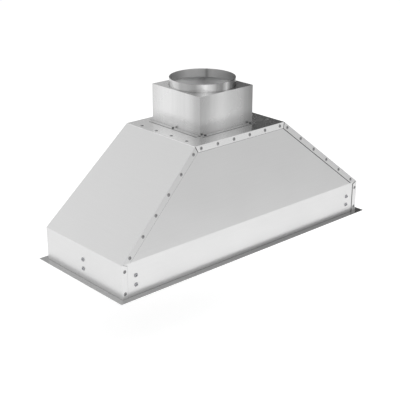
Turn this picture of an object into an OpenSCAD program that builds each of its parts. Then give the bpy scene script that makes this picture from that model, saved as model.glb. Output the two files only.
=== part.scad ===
// Range hood insert: a riveted sheet steel hood with a bottom flange, a duct box
// and round collar on top, and baffle filters, lights, buttons and a blower inside.
// Origin: centre of the flange's underside. Front is -Y, up is +Z. Millimetres.

/* [Hood body] */
// Width of the upright band, left to right
body_w = 978; // [950:2:1040]
// Depth of the upright band, front to back
body_d = 360; // [352:1:390]
// Height of the upright band's upper fold above the flange's underside
band_h = 103; // [96:1:115]
// Height of the top plate above the flange's underside
top_z = 358; // [350:1:390]
// Width of the top plate
top_w = 364; // [340:2:400]
// How far the top plate's front edge lies behind the band's front
top_setback = 49; // [35:1:55]
// Thickness of the shell's steel sheet
sheet_t = 1; // [0.8:0.1:1.2]
// Width of the riveted flaps along the seams
flap_w = 18.5; // [17:0.5:21]
// Diameter of the rivet heads
rivet_head_d = 10.5; // [8:0.5:11]
// Diameter of the heads of the paired screws on the band
screw_head_d = 12.5; // [10:0.5:14]

/* [Bottom flange] */
// How far the flange stands out round the band
flange_w = 19; // [14:1:30]
// Thickness of the flange's sheet
flange_t = 1.2; // [1:0.1:1.5]
// Height of the flange's upright leg inside the band
skirt_h = 75; // [70:1:85]

/* [Duct box and collar] */
// How far the square duct box stands out past the collar on each side
box_margin = 6.5; // [5:0.5:9]
// Height of the duct box above the top plate
box_h = 116; // [110:1:140]
// How far the duct box's centre lies behind the top plate's centre
box_shift = 15.5; // [9.5:0.5:21.5]
// Width of the duct box's foot flange
foot_w = 15; // [13:0.5:17]
// Outer diameter of the duct collar
collar_d = 201; // [190:1:202]
// Height of the duct collar above the duct box
collar_h = 24; // [20:1:60]

/* [Filters and underside] */
// Height of the underside deck above the flange's underside
deck_z = 20; // [16:1:22]
// Height of the turned-up rim round the filter opening
rim_h = 10; // [9:0.5:12]
// Thickness of each baffle filter
filter_t = 22; // [18:1:24]
// Distance between baffles
baffle_pitch = 40; // [36:1:44]
// Width of the flat of each baffle
baffle_w = 26; // [24:0.5:28]
// Width of the bail handles
handle_w = 82; // [70:1:100]
// Drop of the bail handles below their ears
handle_drop = 18; // [14:0.5:18]
// Diameter of the push buttons
button_d = 15; // [13:0.5:18]
// Distance between the push buttons
button_pitch = 32; // [28:1:36]
// Diameter of the light lenses
lens_d = 54; // [44:1:58]

/* [Blower] */
// Diameter of the blower wheel
wheel_d = 170; // [160:1:172]
// Width of the blower wheel
wheel_w = 130; // [116:1:134]
// Diameter of the motor
motor_d = 88; // [76:1:94]
// Length of the motor
motor_l = 92; // [80:1:100]
// Gap between the back-draught damper's frame and the duct box's wall
damper_gap = 7.8; // [5:0.2:11]

/* [Hidden] */

// Smoothness of round parts, and the overrun of every cut
$fn = 48;
over = 2;

// Colours
steel_pale = [0.86, 0.87, 0.87];
steel_mid = [0.74, 0.75, 0.76];
steel_dark = [0.55, 0.56, 0.58];
steel_filter = [0.68, 0.69, 0.70];
zinc = [0.66, 0.67, 0.66];
plastic_black = [0.10, 0.10, 0.11];
plastic_white = [0.85, 0.85, 0.82];
lens_white = [0.95, 0.94, 0.88];
board_green = [0.10, 0.32, 0.18];
rubber_black = [0.06, 0.06, 0.06];

// Corners and slopes of the shell
half_w = body_w / 2;
half_d = body_d / 2;
half_top = top_w / 2;
slope_h = top_z - band_h;
side_run = half_w - half_top;
side_angle = atan2(slope_h, side_run);
front_angle = atan2(slope_h, top_setback);
panel_seat = 0.2;
body_low = flange_t - panel_seat;
under_top = top_z - sheet_t;

// Seam flaps: the hip strip's width along X, the top strip's height along Z, and the notch at the
// fold, from its root near the corner to the slanted top of the upright flap
hip_slant = atan2(slope_h / sin(front_angle), side_run);
hip_dx = flap_w / sin(hip_slant);
top_flap_h = flap_w * sin(front_angle);
flap_notch = 6.5;
flap_root = 3;
flap_lift = 0.4;
flap_slit = 0.5;
mitre_dx = hip_dx - top_flap_h * side_run / slope_h;
top_lip_w = 32;

// Rivets: shank, hole clearance, head height, tail, and their rows
rivet_r = 2;
hole_clear = 0.05;
rivet_head_h = 1.7;
rivet_tail_r = 3;
rivet_tail_h = 2;
rivet_hole_r = 1.2;
rivet_hole_depth = 0.9;
hip_rivet_count = 6;
hip_rivet_low = 13;
hip_rivet_high = 20;
band_rivet_low = 16.5;
band_rivet_high = 20.5;
top_rivet_count = 6;
top_rivet_end = 21.5;
edge_rivet_count = 4;
edge_rivet_inset = 16.5;
edge_rivet_front = 55;
edge_rivet_rear = 53;

// Paired screws on the band: shank, head height, nut, and their places
screw_r = 2.5;
screw_head_h = 2.8;
head_taper_share = 0.75;
screw_slot = 1.4;
screw_slot_depth = 1.5;
nut_h = 3.2;
nut_r = 4.4;
pair_low = 32.5;
pair_gap = 28.2;
pair_inset = 48;

// Duct box and collar
foot_t = 1.2;
box_w = collar_d + 2 * box_margin;
box_half = box_w / 2;
box_y = top_setback / 2 + box_shift;
box_top = top_z + box_h;
collar_r = collar_d / 2;
collar_t = 1.2;
collar_lip = 3.5;
collar_seat = 0.3;
collar_bead = 0.8;
foot_screw_r = 2;
foot_screw_head_r = 4;
foot_screw_head_h = 2;
foot_screw_corner = 15;
foot_screw_x = box_half - foot_screw_corner;
foot_screw_y = 4;

// Underside deck: strips round the filter opening, the seams where they butt, and the rims
deck_t = 1;
deck_seam = 0.2;
deck_skirt_h = 26;
deck_front_w = 77;
deck_rear_w = 21;
deck_side_w = 41;
in_x = half_w - 2 * sheet_t;
in_y = half_d - 3 * sheet_t;
open_x = in_x - deck_side_w;
open_front = -in_y + deck_front_w;
open_rear = in_y - deck_rear_w;
deck_top = deck_z + deck_t;
rim_top = deck_top + rim_h;

// Filters: gaps, frame sheet and rails, hook tabs, and baffles
filter_gap = 2.5;
filter_between = 3;
filter_rear_gap = 1;
filter_sheet = 1;
filter_side_rail = 12;
filter_front_rail = 40;
filter_rear_rail = 20;
tab_w = 24;
tab_t = 1.5;
tab_reach = 9;
tab_inset_share = 0.22;
baffle_t = 0.8;
baffle_lip = 9;
filter_w = (2 * open_x - 2 * filter_gap - 2 * filter_between) / 3;
filter_pitch = filter_w + filter_between;
filter_front = open_front + filter_gap;
filter_rear = open_rear - filter_rear_gap;
filter_l = filter_rear - filter_front;
filter_low = rim_top;
filter_high = filter_low + filter_t;

// Bail handles and their ears
handle_r = 2;
handle_bend = 6;
handle_back = 24;
ear_t = 1.5;
ear_drop = 5.5;
ear_w = 9;
ear_in = 5;
pin_reach = 4;
handle_y = filter_front + handle_back;
handle_z = filter_low - ear_drop;

// Filter catches: sprung strips on the front rim
catch_w = 14;
catch_t = 0.6;
catch_inset_share = 0.3;
catch_low = 2;
catch_nose = 3.2;
catch_gap = 0.3;
catch_rise = 5;

// Control plate, buttons, box and board
panel_t = 1.2;
panel_margin = 15;
panel_d = 40;
panel_y = open_front - deck_front_w / 2;
button_count = 5;
button_gap = 0.3;
button_proud = 2.6;
button_travel = 1.5;
button_flange = 1.8;
button_flange_t = 1.4;
button_stem_r = 2.5;
button_stem_h = 4;
switch_w = 6;
switch_h = 3.5;
switch_gap = 0.25;
board_t = 1.6;
board_margin = 5;
control_wall = 1.6;
control_box_h = 26;
panel_w = (button_count - 1) * button_pitch + button_d + 2 * panel_margin;
board_w = panel_w - 2 * board_margin;
board_d = panel_d - 2 * board_margin;
button_top = deck_z + button_flange_t + button_gap + button_stem_h;
switch_low = button_top + button_travel + switch_gap;
board_low = switch_low + switch_h;

// Lights: bezel, lens, housing and spring clips
light_inset = 150;
light_x = in_x - light_inset;
bezel_lip = 7;
bezel_t = 2;
bezel_wall = 1.5;
bezel_tube_h = 9;
lens_t = 3;
lens_gap = 0.1;
lens_recess = 0.5;
cup_h = 24;
cup_wall = 1.5;
fin_count = 12;
fin_h = 10;
fin_t = 1.5;
clip_w = 8;
clip_t = 0.6;
clip_reach = 16;
lens_r = lens_d / 2;
bezel_r = lens_r + lens_gap + bezel_wall;
light_hole_r = bezel_r + 0.5 * bezel_wall;

// Blower scroll: running gap at the cut-off, growth each quarter turn, neck
cut_gap = 9;
scroll_step = 16;
neck_h = 51;
scroll_t = 1;
tongue_r = 8;
side_gap = 8;
plate_lip = 7;
neck_flange_w = 24;
arc_steps = 14;
cut_r = wheel_d / 2 + cut_gap;
neck_d = cut_r + 3.5 * scroll_step;
neck_w = wheel_w + 2 * side_gap;
wheel_y = box_y - neck_d / 2 + scroll_step / 2;
wheel_z = under_top - scroll_t - neck_h - cut_r;
neck_top = under_top - scroll_t;

// Blower wheel: blades, discs and hub
blade_count = 36;
blade_depth = 15;
blade_t = 0.9;
blade_lean = 14;
blade_steps = 4;
disc_t = 1.5;
ring_w = 6;
hub_r = 15;
hub_l = 30;
shaft_r = 4;
shaft_tip = 4;
shaft_clear = 0.05;

// Inlet rings
inlet_step = 3;
inlet_r = wheel_d / 2 - blade_depth - inlet_step;
inlet_bell = 9;
inlet_t = 1;
inlet_flat = 5;

// Motor: distance from the wheel's disc, end caps, cooling slots
motor_gap = 14;
cap_l = 12;
cap_step = 5;
slot_count = 10;
slot_w = 5;
slot_depth = 2.5;
boss_r = 14;
boss_l = 3;
motor_r = motor_d / 2;
motor_x = disc_t / 2 + motor_gap;

// Motor bracket, rubber grommets and bolts
arm_count = 3;
arm_w = 16;
arm_t = 2;
clamp_w = 14;
clamp_t = 1.6;
clamp_gap = 0.05;
grommet_r = 6.5;
grommet_neck = 4.2;
grommet_low = 5;
grommet_high = 3;
bolt_r = 2.5;
bolt_head_r = 5;
bolt_head_h = 3;
foot_l = 17;
plate_x = neck_w / 2 + scroll_t;
foot_x = plate_x + grommet_low;
foot_r = cut_r + plate_lip - grommet_r - 1.5 * scroll_t;
arm_start = motor_r + clamp_gap + clamp_t / 2;

// Damper: frame, flaps and pins
damper_wall = 1.2;
damper_frame_h = 14;
damper_ledge = 15;
damper_half = box_half - foot_t - damper_gap;
damper_bar = 9;
damper_t = 0.8;
damper_seat = 0.3;
pin_r = 1.5;
pin_clear = 0.05;
pin_head_r = 3;
pin_head_h = 1.5;
knuckle_r = 2.8;
knuckle_share = 0.86;
damper_lap = 3.5;
pin_x = 5.5;
pin_z = top_z + damper_wall + damper_seat + knuckle_r;
damper_hole = damper_half - damper_ledge;
damper_flap_l = 2 * (damper_hole + damper_lap);
damper_flap_w = damper_hole + damper_lap - pin_x;

// Screws that hold the blower and the damper to the top plate
hang_r = 2;
hang_head_r = 4;
hang_head_h = 2.2;
hang_clear = 0.6;
hang_spread = 50;
hang_offset = damper_half - damper_wall - hang_head_r - hang_clear;

// Wiring box on the rear panel, its cover, and the conduit hole
wire_x = 165;
wire_z = 178;
wire_w = 104;
wire_h = 92;
wire_d = 56;
wire_t = 1.2;
wire_tab = 9;
conduit_r = 11.1;
bushing_r = 15;
bushing_t = 2.4;
capacitor_r = 17;
capacitor_l = 62;
capacitor_cap = 5;
driver_w = 34;
driver_d = 24;
driver_l = 68;
inner_gap = 3;
rear_in = half_d - 2 * sheet_t;

// Places on the shell. Left side and front as functions of height and depth into the sheet
function side_x(z, g) = z > band_h ? half_w - (g + (z - band_h) * cos(side_angle)) / sin(side_angle)
                                   : half_w - g;
function front_y(z, g) = z > band_h ? -half_d + (g + (z - band_h) * cos(front_angle)) / sin(front_angle)
                                    : -half_d + g;
function fold_z(g, angle) = band_h - g * (1 - sin(angle)) / cos(angle);

// Upright prism from an outline seen from the front, cut to a span of Y
module from_front(y_low, y_high) {
    translate([0, y_high, 0])
        rotate([90, 0, 0])
            linear_extrude(y_high - y_low) children();
}

// Prism from an outline seen from the right side, cut to a span of X
module from_side(x_low, x_high) {
    translate([x_low, 0, 0])
        rotate([90, 0, 90])
            linear_extrude(x_high - x_low) children();
}

// The shell's outline from the front, g inside its outer face
module front_outline(g, low, high) {
    polygon([
        [-half_w + g, low], [-half_w + g, fold_z(g, side_angle)], [-side_x(high, g), high],
        [side_x(high, g), high], [half_w - g, fold_z(g, side_angle)], [half_w - g, low]
    ]);
}

// The shell's outline from the side, g inside its outer face
module side_outline(g, low, high) {
    polygon([
        [-half_d + g, low], [-half_d + g, fold_z(g, front_angle)], [front_y(high, g), high],
        [half_d - g, high], [half_d - g, low]
    ]);
}

module shell_depth(g, low, high) {
    from_side(-half_w - over, half_w + over) side_outline(g, low, high);
}

// Frames on the faces, with +Z pointing out of the face
module on_front(x, z) {
    translate([x, front_y(z, 0), z])
        rotate([z > band_h ? front_angle : 90, 0, 0]) children();
}

module on_rear(x, z) {
    translate([x, half_d, z]) rotate([-90, 0, 0]) children();
}

module on_left(y, z) {
    translate([-half_w, y, z]) rotate([0, -90, 0]) children();
}

module on_right(y, z) {
    translate([half_w, y, z]) rotate([0, 90, 0]) children();
}

// Rivet and screw rows
hip_rivet_pitch = (slope_h - hip_rivet_low - hip_rivet_high) / (hip_rivet_count - 1);
hip_points = [for (i = [0:hip_rivet_count - 1])
    let(z = band_h + hip_rivet_low + i * hip_rivet_pitch)
    [side_x(z, 0) - hip_dx / 2, z]];
band_points = [[half_w - flap_w / 2, band_rivet_low], [half_w - flap_w / 2, band_h - band_rivet_high]];
top_rivet_pitch = (top_w - 2 * top_rivet_end) / (top_rivet_count - 1);
top_points = [for (i = [0:top_rivet_count - 1])
    [-half_top + top_rivet_end + i * top_rivet_pitch, top_z - top_flap_h / 2]];
corner_points = concat(hip_points, band_points);
seam_points = concat(corner_points, [for (p = corner_points) [-p[0], p[1]]], top_points);
edge_front = -half_d + top_setback + edge_rivet_front;
edge_pitch = (half_d - edge_rivet_rear - edge_front) / (edge_rivet_count - 1);
edge_points = [for (s = [-1, 1], i = [0:edge_rivet_count - 1])
    [s * (half_top - edge_rivet_inset), edge_front + i * edge_pitch]];
pair_heights = [pair_low, pair_low + pair_gap];
pair_x = half_w - pair_inset;

module front_seam_places() {
    for (p = seam_points) on_front(p[0], p[1]) children();
}

module rear_seam_places() {
    for (p = seam_points) on_rear(p[0], p[1]) children();
}

module top_edge_places() {
    for (p = edge_points) translate([p[0], p[1], top_z]) children();
}

module front_pair_places() {
    for (s = [-1, 1], z = pair_heights) on_front(s * pair_x, z) children();
}

module rear_pair_places() {
    for (s = [-1, 1], z = pair_heights) on_rear(s * pair_x, z) children();
}

module left_pair_places() {
    for (z = pair_heights) on_left(0, z) children();
}

module right_pair_places() {
    for (z = pair_heights) on_right(0, z) children();
}

module rivet_hole() {
    cylinder(h = 4 * over, r = rivet_r + hole_clear, center = true);
}

module tail_hole() {
    cylinder(h = 4 * over, r = rivet_tail_r + hole_clear, center = true);
}

module pair_hole() {
    cylinder(h = 6 * over, r = screw_r + hole_clear, center = true);
}

// Blind rivet: domed head with the pin's hollow, shank through the sheets, swelled tail behind
module rivet(grip) {
    head_r = rivet_head_d / 2;
    dome_r = (head_r * head_r + rivet_head_h * rivet_head_h) / (2 * rivet_head_h);
    difference() {
        intersection() {
            translate([0, 0, rivet_head_h - dome_r]) sphere(dome_r);
            cylinder(h = rivet_head_h + over, r = head_r);
        }
        translate([0, 0, rivet_head_h - rivet_hole_depth]) cylinder(h = over, r = rivet_hole_r);
    }
    translate([0, 0, -grip - rivet_tail_h]) cylinder(h = grip + rivet_tail_h, r = rivet_r);
    translate([0, 0, -grip - rivet_tail_h]) cylinder(h = rivet_tail_h, r = rivet_tail_r);
}

// Pan head screw with a cross slot and a square nut behind; sunk is the face's step back
module pair_screw(sunk, grip) {
    difference() {
        translate([0, 0, -sunk])
            cylinder(h = screw_head_h, r1 = screw_head_d / 2, r2 = screw_head_d / 2 * head_taper_share);
        for (a = [0, 90])
            rotate([0, 0, a])
                translate([0, 0, screw_head_h - sunk])
                    cube([screw_head_d / 2, screw_slot, 2 * screw_slot_depth], center = true);
    }
    translate([0, 0, -grip - nut_h]) cylinder(h = grip + nut_h - sunk, r = screw_r);
    translate([0, 0, -grip - nut_h]) cylinder(h = nut_h, r = nut_r, $fn = 6);
}

// Side panel, drawn on the right: band, slope, lip under the top plate, and seam flaps
module side_profile() {
    polygon([
        [half_w, body_low], [half_w, band_h], [side_x(under_top, 0), under_top],
        [side_x(under_top, sheet_t), under_top], [half_w - sheet_t, fold_z(sheet_t, side_angle)],
        [half_w - sheet_t, body_low]
    ]);
}

module side_lip() {
    lip_x = half_top - top_lip_w;
    lip_low = under_top - sheet_t;
    polygon([
        [lip_x, lip_low], [lip_x, under_top], [side_x(under_top, 0), under_top],
        [side_x(lip_low, sheet_t), lip_low]
    ]);
}

module seam_flap() {
    polygon([
        [half_w, body_low], [half_w, band_h], [side_x(under_top, 0), under_top],
        [half_top - mitre_dx, top_z - top_flap_h],
        [half_w - hip_dx - flap_lift * side_run / slope_h, band_h + flap_lift],
        [half_w - flap_root, band_h + flap_lift],
        [half_w - flap_w, band_h - flap_notch], [half_w - flap_w, body_low]
    ]);
}

module side_panel_right() {
    difference() {
        union() {
            intersection() {
                from_front(-half_d - over, half_d + over) side_profile();
                shell_depth(0, 0, top_z);
            }
            intersection() {
                from_front(-half_d - over, half_d + over) side_lip();
                shell_depth(2 * sheet_t, 0, top_z);
            }
            intersection() {
                from_front(-half_d - over, half_d + over) seam_flap();
                difference() {
                    shell_depth(0, 0, top_z);
                    shell_depth(sheet_t, -over, top_z + over);
                }
            }
        }
        front_seam_places() rivet_hole();
        rear_seam_places() rivet_hole();
        top_edge_places() rivet_hole();
    }
}

module right_side_panel() {
    color(steel_pale)
        difference() {
            side_panel_right();
            right_pair_places() pair_hole();
        }
}

module left_side_panel() {
    color(steel_pale)
        difference() {
            mirror([1, 0, 0]) side_panel_right();
            left_pair_places() pair_hole();
        }
}

// Front and rear panels lie one sheet behind the flaps, between the side panels
module inner_skin() {
    intersection() {
        from_front(-half_d - over, half_d + over) front_outline(sheet_t, body_low, under_top);
        difference() {
            shell_depth(sheet_t, 0, top_z);
            shell_depth(2 * sheet_t, -over, top_z + over);
        }
    }
}

module front_panel() {
    color(steel_pale)
        difference() {
            inner_skin();
            translate([-body_w, 0, -over]) cube([2 * body_w, body_d, 2 * top_z]);
            front_seam_places() rivet_hole();
            front_pair_places() pair_hole();
        }
}

module rear_panel() {
    color(steel_pale)
        difference() {
            inner_skin();
            translate([-body_w, -body_d, -over]) cube([2 * body_w, body_d, 2 * top_z]);
            rear_seam_places() rivet_hole();
            rear_pair_places() pair_hole();
            translate([wire_x, half_d, wire_z]) rotate([90, 0, 0])
                cylinder(h = 6 * over, r = conduit_r, center = true);
        }
}

// Top plate with the blower's opening and a mitred flap down each long side
module top_flap() {
    polygon([
        [-half_top, top_z], [half_top, top_z],
        [half_top - mitre_dx - flap_slit, top_z - top_flap_h],
        [-half_top + mitre_dx + flap_slit, top_z - top_flap_h]
    ]);
}

module top_plate() {
    color(steel_mid)
        difference() {
            union() {
                intersection() {
                    from_front(-half_d - over, half_d + over)
                        polygon([[-half_top, top_z], [half_top, top_z],
                                 [side_x(under_top, 0), under_top], [-side_x(under_top, 0), under_top]]);
                    shell_depth(0, 0, top_z);
                }
                intersection() {
                    from_front(-half_d - over, half_d + over)
                        difference() {
                            top_flap();
                            for (m = [0, 1]) mirror([m, 0]) seam_flap();
                        }
                    difference() {
                        shell_depth(0, 0, top_z);
                        shell_depth(sheet_t, -over, top_z + over);
                    }
                }
            }
            translate([-neck_w / 2, box_y - neck_d / 2, under_top - over])
                cube([neck_w, neck_d, 2 * over + sheet_t]);
            front_seam_places() rivet_hole();
            rear_seam_places() rivet_hole();
            top_edge_places() rivet_hole();
            duct_foot_places() cylinder(h = 4 * over, r = foot_screw_r + hole_clear, center = true);
            hang_places() cylinder(h = 4 * over, r = hang_r + hole_clear, center = true);
        }
}

// Flange frame with an upright leg that stands inside the band
module bottom_flange() {
    leg_x = half_w - sheet_t;
    leg_y = half_d - 2 * sheet_t;
    color(steel_mid)
        difference() {
            union() {
                translate([-half_w - flange_w, -half_d - flange_w, 0])
                    cube([body_w + 2 * flange_w, body_d + 2 * flange_w, flange_t]);
                translate([-leg_x, -leg_y, 0]) cube([2 * leg_x, 2 * leg_y, skirt_h]);
            }
            translate([-in_x, -in_y, -over]) cube([2 * in_x, 2 * in_y, skirt_h + 2 * over]);
            difference() {
                translate([-half_w, -half_d, body_low]) cube([body_w, body_d, skirt_h]);
                translate([-leg_x, -leg_y, 0]) cube([2 * leg_x, 2 * leg_y, skirt_h]);
            }
            front_pair_places() pair_hole();
            rear_pair_places() pair_hole();
            left_pair_places() pair_hole();
            right_pair_places() pair_hole();
            front_seam_places() tail_hole();
            rear_seam_places() tail_hole();
        }
}

// Places round the duct box's foot
module duct_foot_places() {
    for (s = [-1, 1], f = [-1, 1])
        translate([s * foot_screw_x, box_y + f * (box_half + foot_w / 2), top_z]) children();
    for (s = [-1, 1])
        translate([s * (box_half + foot_w / 2), box_y + foot_screw_y, top_z]) children();
}

module duct_box() {
    inner = box_half - foot_t;
    color(steel_mid)
        difference() {
            union() {
                for (foot = [[foot_w, 0], [0, foot_w]])
                    translate([-box_half - foot[0], box_y - box_half - foot[1], top_z])
                        cube([box_w + 2 * foot[0], box_w + 2 * foot[1], foot_t]);
                translate([-box_half, box_y - box_half, top_z]) cube([box_w, box_w, box_h]);
            }
            translate([-inner, box_y - inner, top_z - over])
                cube([2 * inner, 2 * inner, box_h - foot_t + over]);
            translate([0, box_y, top_z])
                cylinder(h = box_h + over, r = collar_r + collar_bead + collar_seat, $fn = 96);
            duct_foot_places() cylinder(h = 4 * over, r = foot_screw_r + hole_clear, center = true);
        }
}

// Rolled collar: a bead fills the hole in the duct box's top, and a lip lies under it
module duct_collar() {
    lip_z = box_top - foot_t - collar_t;
    color(steel_mid)
        translate([0, box_y, lip_z])
            difference() {
                union() {
                    cylinder(h = collar_h + foot_t + collar_t, r = collar_r, $fn = 96);
                    cylinder(h = foot_t + collar_t, r = collar_r + collar_bead, $fn = 96);
                    cylinder(h = collar_t, r = collar_r + collar_lip, $fn = 96);
                }
                translate([0, 0, -over])
                    cylinder(h = box_h + collar_h, r = collar_r - collar_t, $fn = 96);
            }
}

module duct_box_screws() {
    color(zinc)
        duct_foot_places() {
            translate([0, 0, foot_t])
                cylinder(h = foot_screw_head_h, r1 = foot_screw_head_r,
                         r2 = foot_screw_head_r * head_taper_share);
            translate([0, 0, -over - sheet_t]) cylinder(h = over + sheet_t + foot_t, r = foot_screw_r);
        }
}

module front_seam_rivets() {
    color(zinc) front_seam_places() rivet(2 * sheet_t);
}

module rear_seam_rivets() {
    color(zinc) rear_seam_places() rivet(2 * sheet_t);
}

module top_edge_rivets() {
    color(zinc) top_edge_places() rivet(2 * sheet_t);
}

module band_screws() {
    color(zinc) {
        front_pair_places() pair_screw(sheet_t, 3 * sheet_t);
        rear_pair_places() pair_screw(sheet_t, 3 * sheet_t);
        left_pair_places() pair_screw(0, 2 * sheet_t);
        right_pair_places() pair_screw(0, 2 * sheet_t);
    }
}

// Deck of four folded strips that butt round the filter opening. Each has a turned-up edge
// outside and a turned-up rim inside, and the end strips lie between the long ones
module underside_deck() {
    color(steel_pale)
        difference() {
            union() {
                translate([-in_x, -in_y, deck_z]) cube([2 * in_x, 2 * in_y, deck_t]);
                difference() {
                    translate([-in_x, -in_y, deck_z]) cube([2 * in_x, 2 * in_y, deck_skirt_h]);
                    translate([-in_x + deck_t, -in_y + deck_t, deck_z - over])
                        cube([2 * in_x - 2 * deck_t, 2 * in_y - 2 * deck_t, deck_skirt_h + 2 * over]);
                }
                translate([-open_x - deck_t, open_front - deck_t, deck_z])
                    cube([2 * open_x + 2 * deck_t, open_rear - open_front + 2 * deck_t, deck_t + rim_h]);
            }
            translate([-open_x, open_front, deck_z - over])
                cube([2 * open_x, open_rear - open_front, rim_h + deck_t + 2 * over]);
            for (s = [0, 1], seam_y = [open_front, open_rear - deck_seam])
                mirror([s, 0, 0])
                    translate([open_x - over, seam_y, deck_z - over])
                        cube([deck_side_w + 2 * over, deck_seam, deck_skirt_h + 2 * over]);
            translate([-board_w / 2, panel_y - board_d / 2, deck_z - over])
                cube([board_w, board_d, deck_t + 2 * over]);
            for (s = [-1, 1])
                translate([s * light_x, panel_y, deck_z - over])
                    cylinder(h = deck_t + 2 * over, r = light_hole_r);
            front_pair_places() nut_hole();
            rear_pair_places() nut_hole();
            left_pair_places() nut_hole();
            right_pair_places() nut_hole();
        }
}

// Clearance for a band screw's nut in the deck's edge
module nut_hole() {
    cylinder(h = 8 * over, r = nut_r + deck_t, center = true);
}

// Baffle filter frame: a channel all round, hook tabs behind, and two ears for the handle
module filter_frame(cx) {
    rail_x = filter_w / 2;
    color(steel_filter)
        translate([cx, 0, 0])
            difference() {
                union() {
                    translate([-rail_x, filter_front, filter_low]) cube([filter_w, filter_l, filter_t]);
                    for (s = [-1, 1])
                        translate([s * filter_w * tab_inset_share - tab_w / 2, filter_rear, filter_low])
                            cube([tab_w, tab_reach + filter_rear_gap, tab_t]);
                    for (s = [-1, 1])
                        translate([s * (handle_w / 2 - ear_in) - ear_t / 2, handle_y, handle_z]) handle_ear();
                }
                translate([-rail_x + filter_sheet, filter_front + filter_sheet, filter_low + filter_sheet])
                    cube([filter_w - 2 * filter_sheet, filter_l - 2 * filter_sheet,
                          filter_t - 2 * filter_sheet]);
                translate([-rail_x + filter_side_rail, filter_front + filter_front_rail, filter_low - over])
                    cube([filter_w - 2 * filter_side_rail, filter_l - filter_front_rail - filter_rear_rail,
                          filter_t + 2 * over]);
            }
}

module handle_ear() {
    rotate([90, 0, 90])
        difference() {
            union() {
                cylinder(h = ear_t, r = ear_w / 2);
                translate([-ear_w / 2, 0, 0]) cube([ear_w, ear_drop, ear_t]);
            }
            translate([0, 0, -over]) cylinder(h = ear_t + 2 * over, r = handle_r + hole_clear);
        }
}

// Two rows of channel baffles, the upper row turned over and shifted by half a pitch
module filter_baffles(cx) {
    clear_w = filter_w - 2 * filter_sheet;
    clear_l = filter_l - 2 * filter_sheet;
    low_count = floor((clear_w - baffle_w) / baffle_pitch) + 1;
    color(steel_filter)
        translate([cx, filter_front + filter_sheet, 0]) {
            for (i = [0:low_count - 1])
                translate([(i - (low_count - 1) / 2) * baffle_pitch, 0, filter_low + filter_sheet])
                    baffle(clear_l);
            for (i = [0:low_count - 2])
                translate([(i - (low_count - 2) / 2) * baffle_pitch, clear_l, filter_high - filter_sheet])
                    rotate([180, 0, 0]) baffle(clear_l);
        }
}

module baffle(length) {
    difference() {
        translate([-baffle_w / 2, 0, 0]) cube([baffle_w, length, baffle_lip]);
        translate([-baffle_w / 2 + baffle_t, -over, baffle_t])
            cube([baffle_w - 2 * baffle_t, length + 2 * over, baffle_lip]);
    }
}

// Wire bail that hangs from the two ears
module filter_handle(cx) {
    leg_x = handle_w / 2;
    leg = handle_drop - handle_bend;
    color(steel_mid)
        translate([cx, handle_y, handle_z]) {
            for (s = [0, 1])
                mirror([s, 0, 0]) {
                    translate([leg_x - ear_in - pin_reach, 0, 0])
                        rotate([0, 90, 0]) cylinder(h = ear_in + pin_reach, r = handle_r);
                    translate([leg_x, 0, 0]) sphere(handle_r);
                    translate([leg_x, 0, -leg]) cylinder(h = leg, r = handle_r);
                    translate([leg_x - handle_bend, 0, -leg])
                        rotate([-90, 0, 0])
                            rotate_extrude(angle = 90)
                                translate([handle_bend, 0]) circle(handle_r);
                }
            translate([-leg_x + handle_bend, 0, -handle_drop])
                rotate([0, 90, 0]) cylinder(h = handle_w - 2 * handle_bend, r = handle_r);
        }
}

// Sprung strips on the front rim, with a nose under the filter's front edge
module filter_catches(cx) {
    rim_face = open_front - deck_t;
    nose_y = filter_front + catch_nose;
    nose_z = filter_low - catch_gap;
    color(steel_dark)
        for (s = [-1, 1])
            from_side(cx + s * filter_w * catch_inset_share - catch_w / 2,
                      cx + s * filter_w * catch_inset_share + catch_w / 2)
                polygon([
                    [rim_face - catch_t, deck_top + catch_low], [rim_face, deck_top + catch_low],
                    [rim_face, rim_top + catch_t], [open_front + catch_t, rim_top + catch_t],
                    [open_front + catch_t, nose_z - catch_rise + catch_t],
                    [nose_y, nose_z - catch_t], [nose_y, nose_z],
                    [nose_y - catch_t, nose_z], [open_front + 2 * catch_t, nose_z - catch_rise + 2 * catch_t],
                    [open_front + 2 * catch_t, rim_top + 2 * catch_t],
                    [rim_face - catch_t, rim_top + 2 * catch_t]
                ]);
}

// Control plate with a row of round holes
module control_plate() {
    color(steel_mid)
        translate([0, panel_y, deck_z - panel_t])
            difference() {
                translate([-panel_w / 2, -panel_d / 2, 0]) cube([panel_w, panel_d, panel_t]);
                for (i = [0:button_count - 1])
                    translate([button_x(i), 0, -over])
                        cylinder(h = panel_t + 2 * over, r = button_d / 2 + button_gap);
            }
}

function button_x(i) = (i - (button_count - 1) / 2) * button_pitch;

// Push button: cap below the plate, a flange that stops it, and a stem to its switch
module push_button(i) {
    flange_low = deck_z + button_gap;
    color(steel_pale)
        translate([button_x(i), panel_y, 0]) {
            translate([0, 0, deck_z - panel_t - button_proud])
                cylinder(h = button_proud + panel_t + button_gap, r = button_d / 2);
            translate([0, 0, flange_low]) cylinder(h = button_flange_t, r = button_d / 2 + button_flange);
            translate([0, 0, flange_low]) cylinder(h = button_top - flange_low, r = button_stem_r);
        }
}

// Moulded box over the board
module control_box() {
    outer_w = panel_w + 2 * control_wall;
    outer_d = panel_d + 2 * control_wall;
    color(plastic_black)
        translate([0, panel_y, deck_top])
            difference() {
                translate([-outer_w / 2, -outer_d / 2, 0]) cube([outer_w, outer_d, control_box_h]);
                translate([-panel_w / 2, -panel_d / 2, -over])
                    cube([panel_w, panel_d, control_box_h - control_wall + over]);
            }
}

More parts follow.
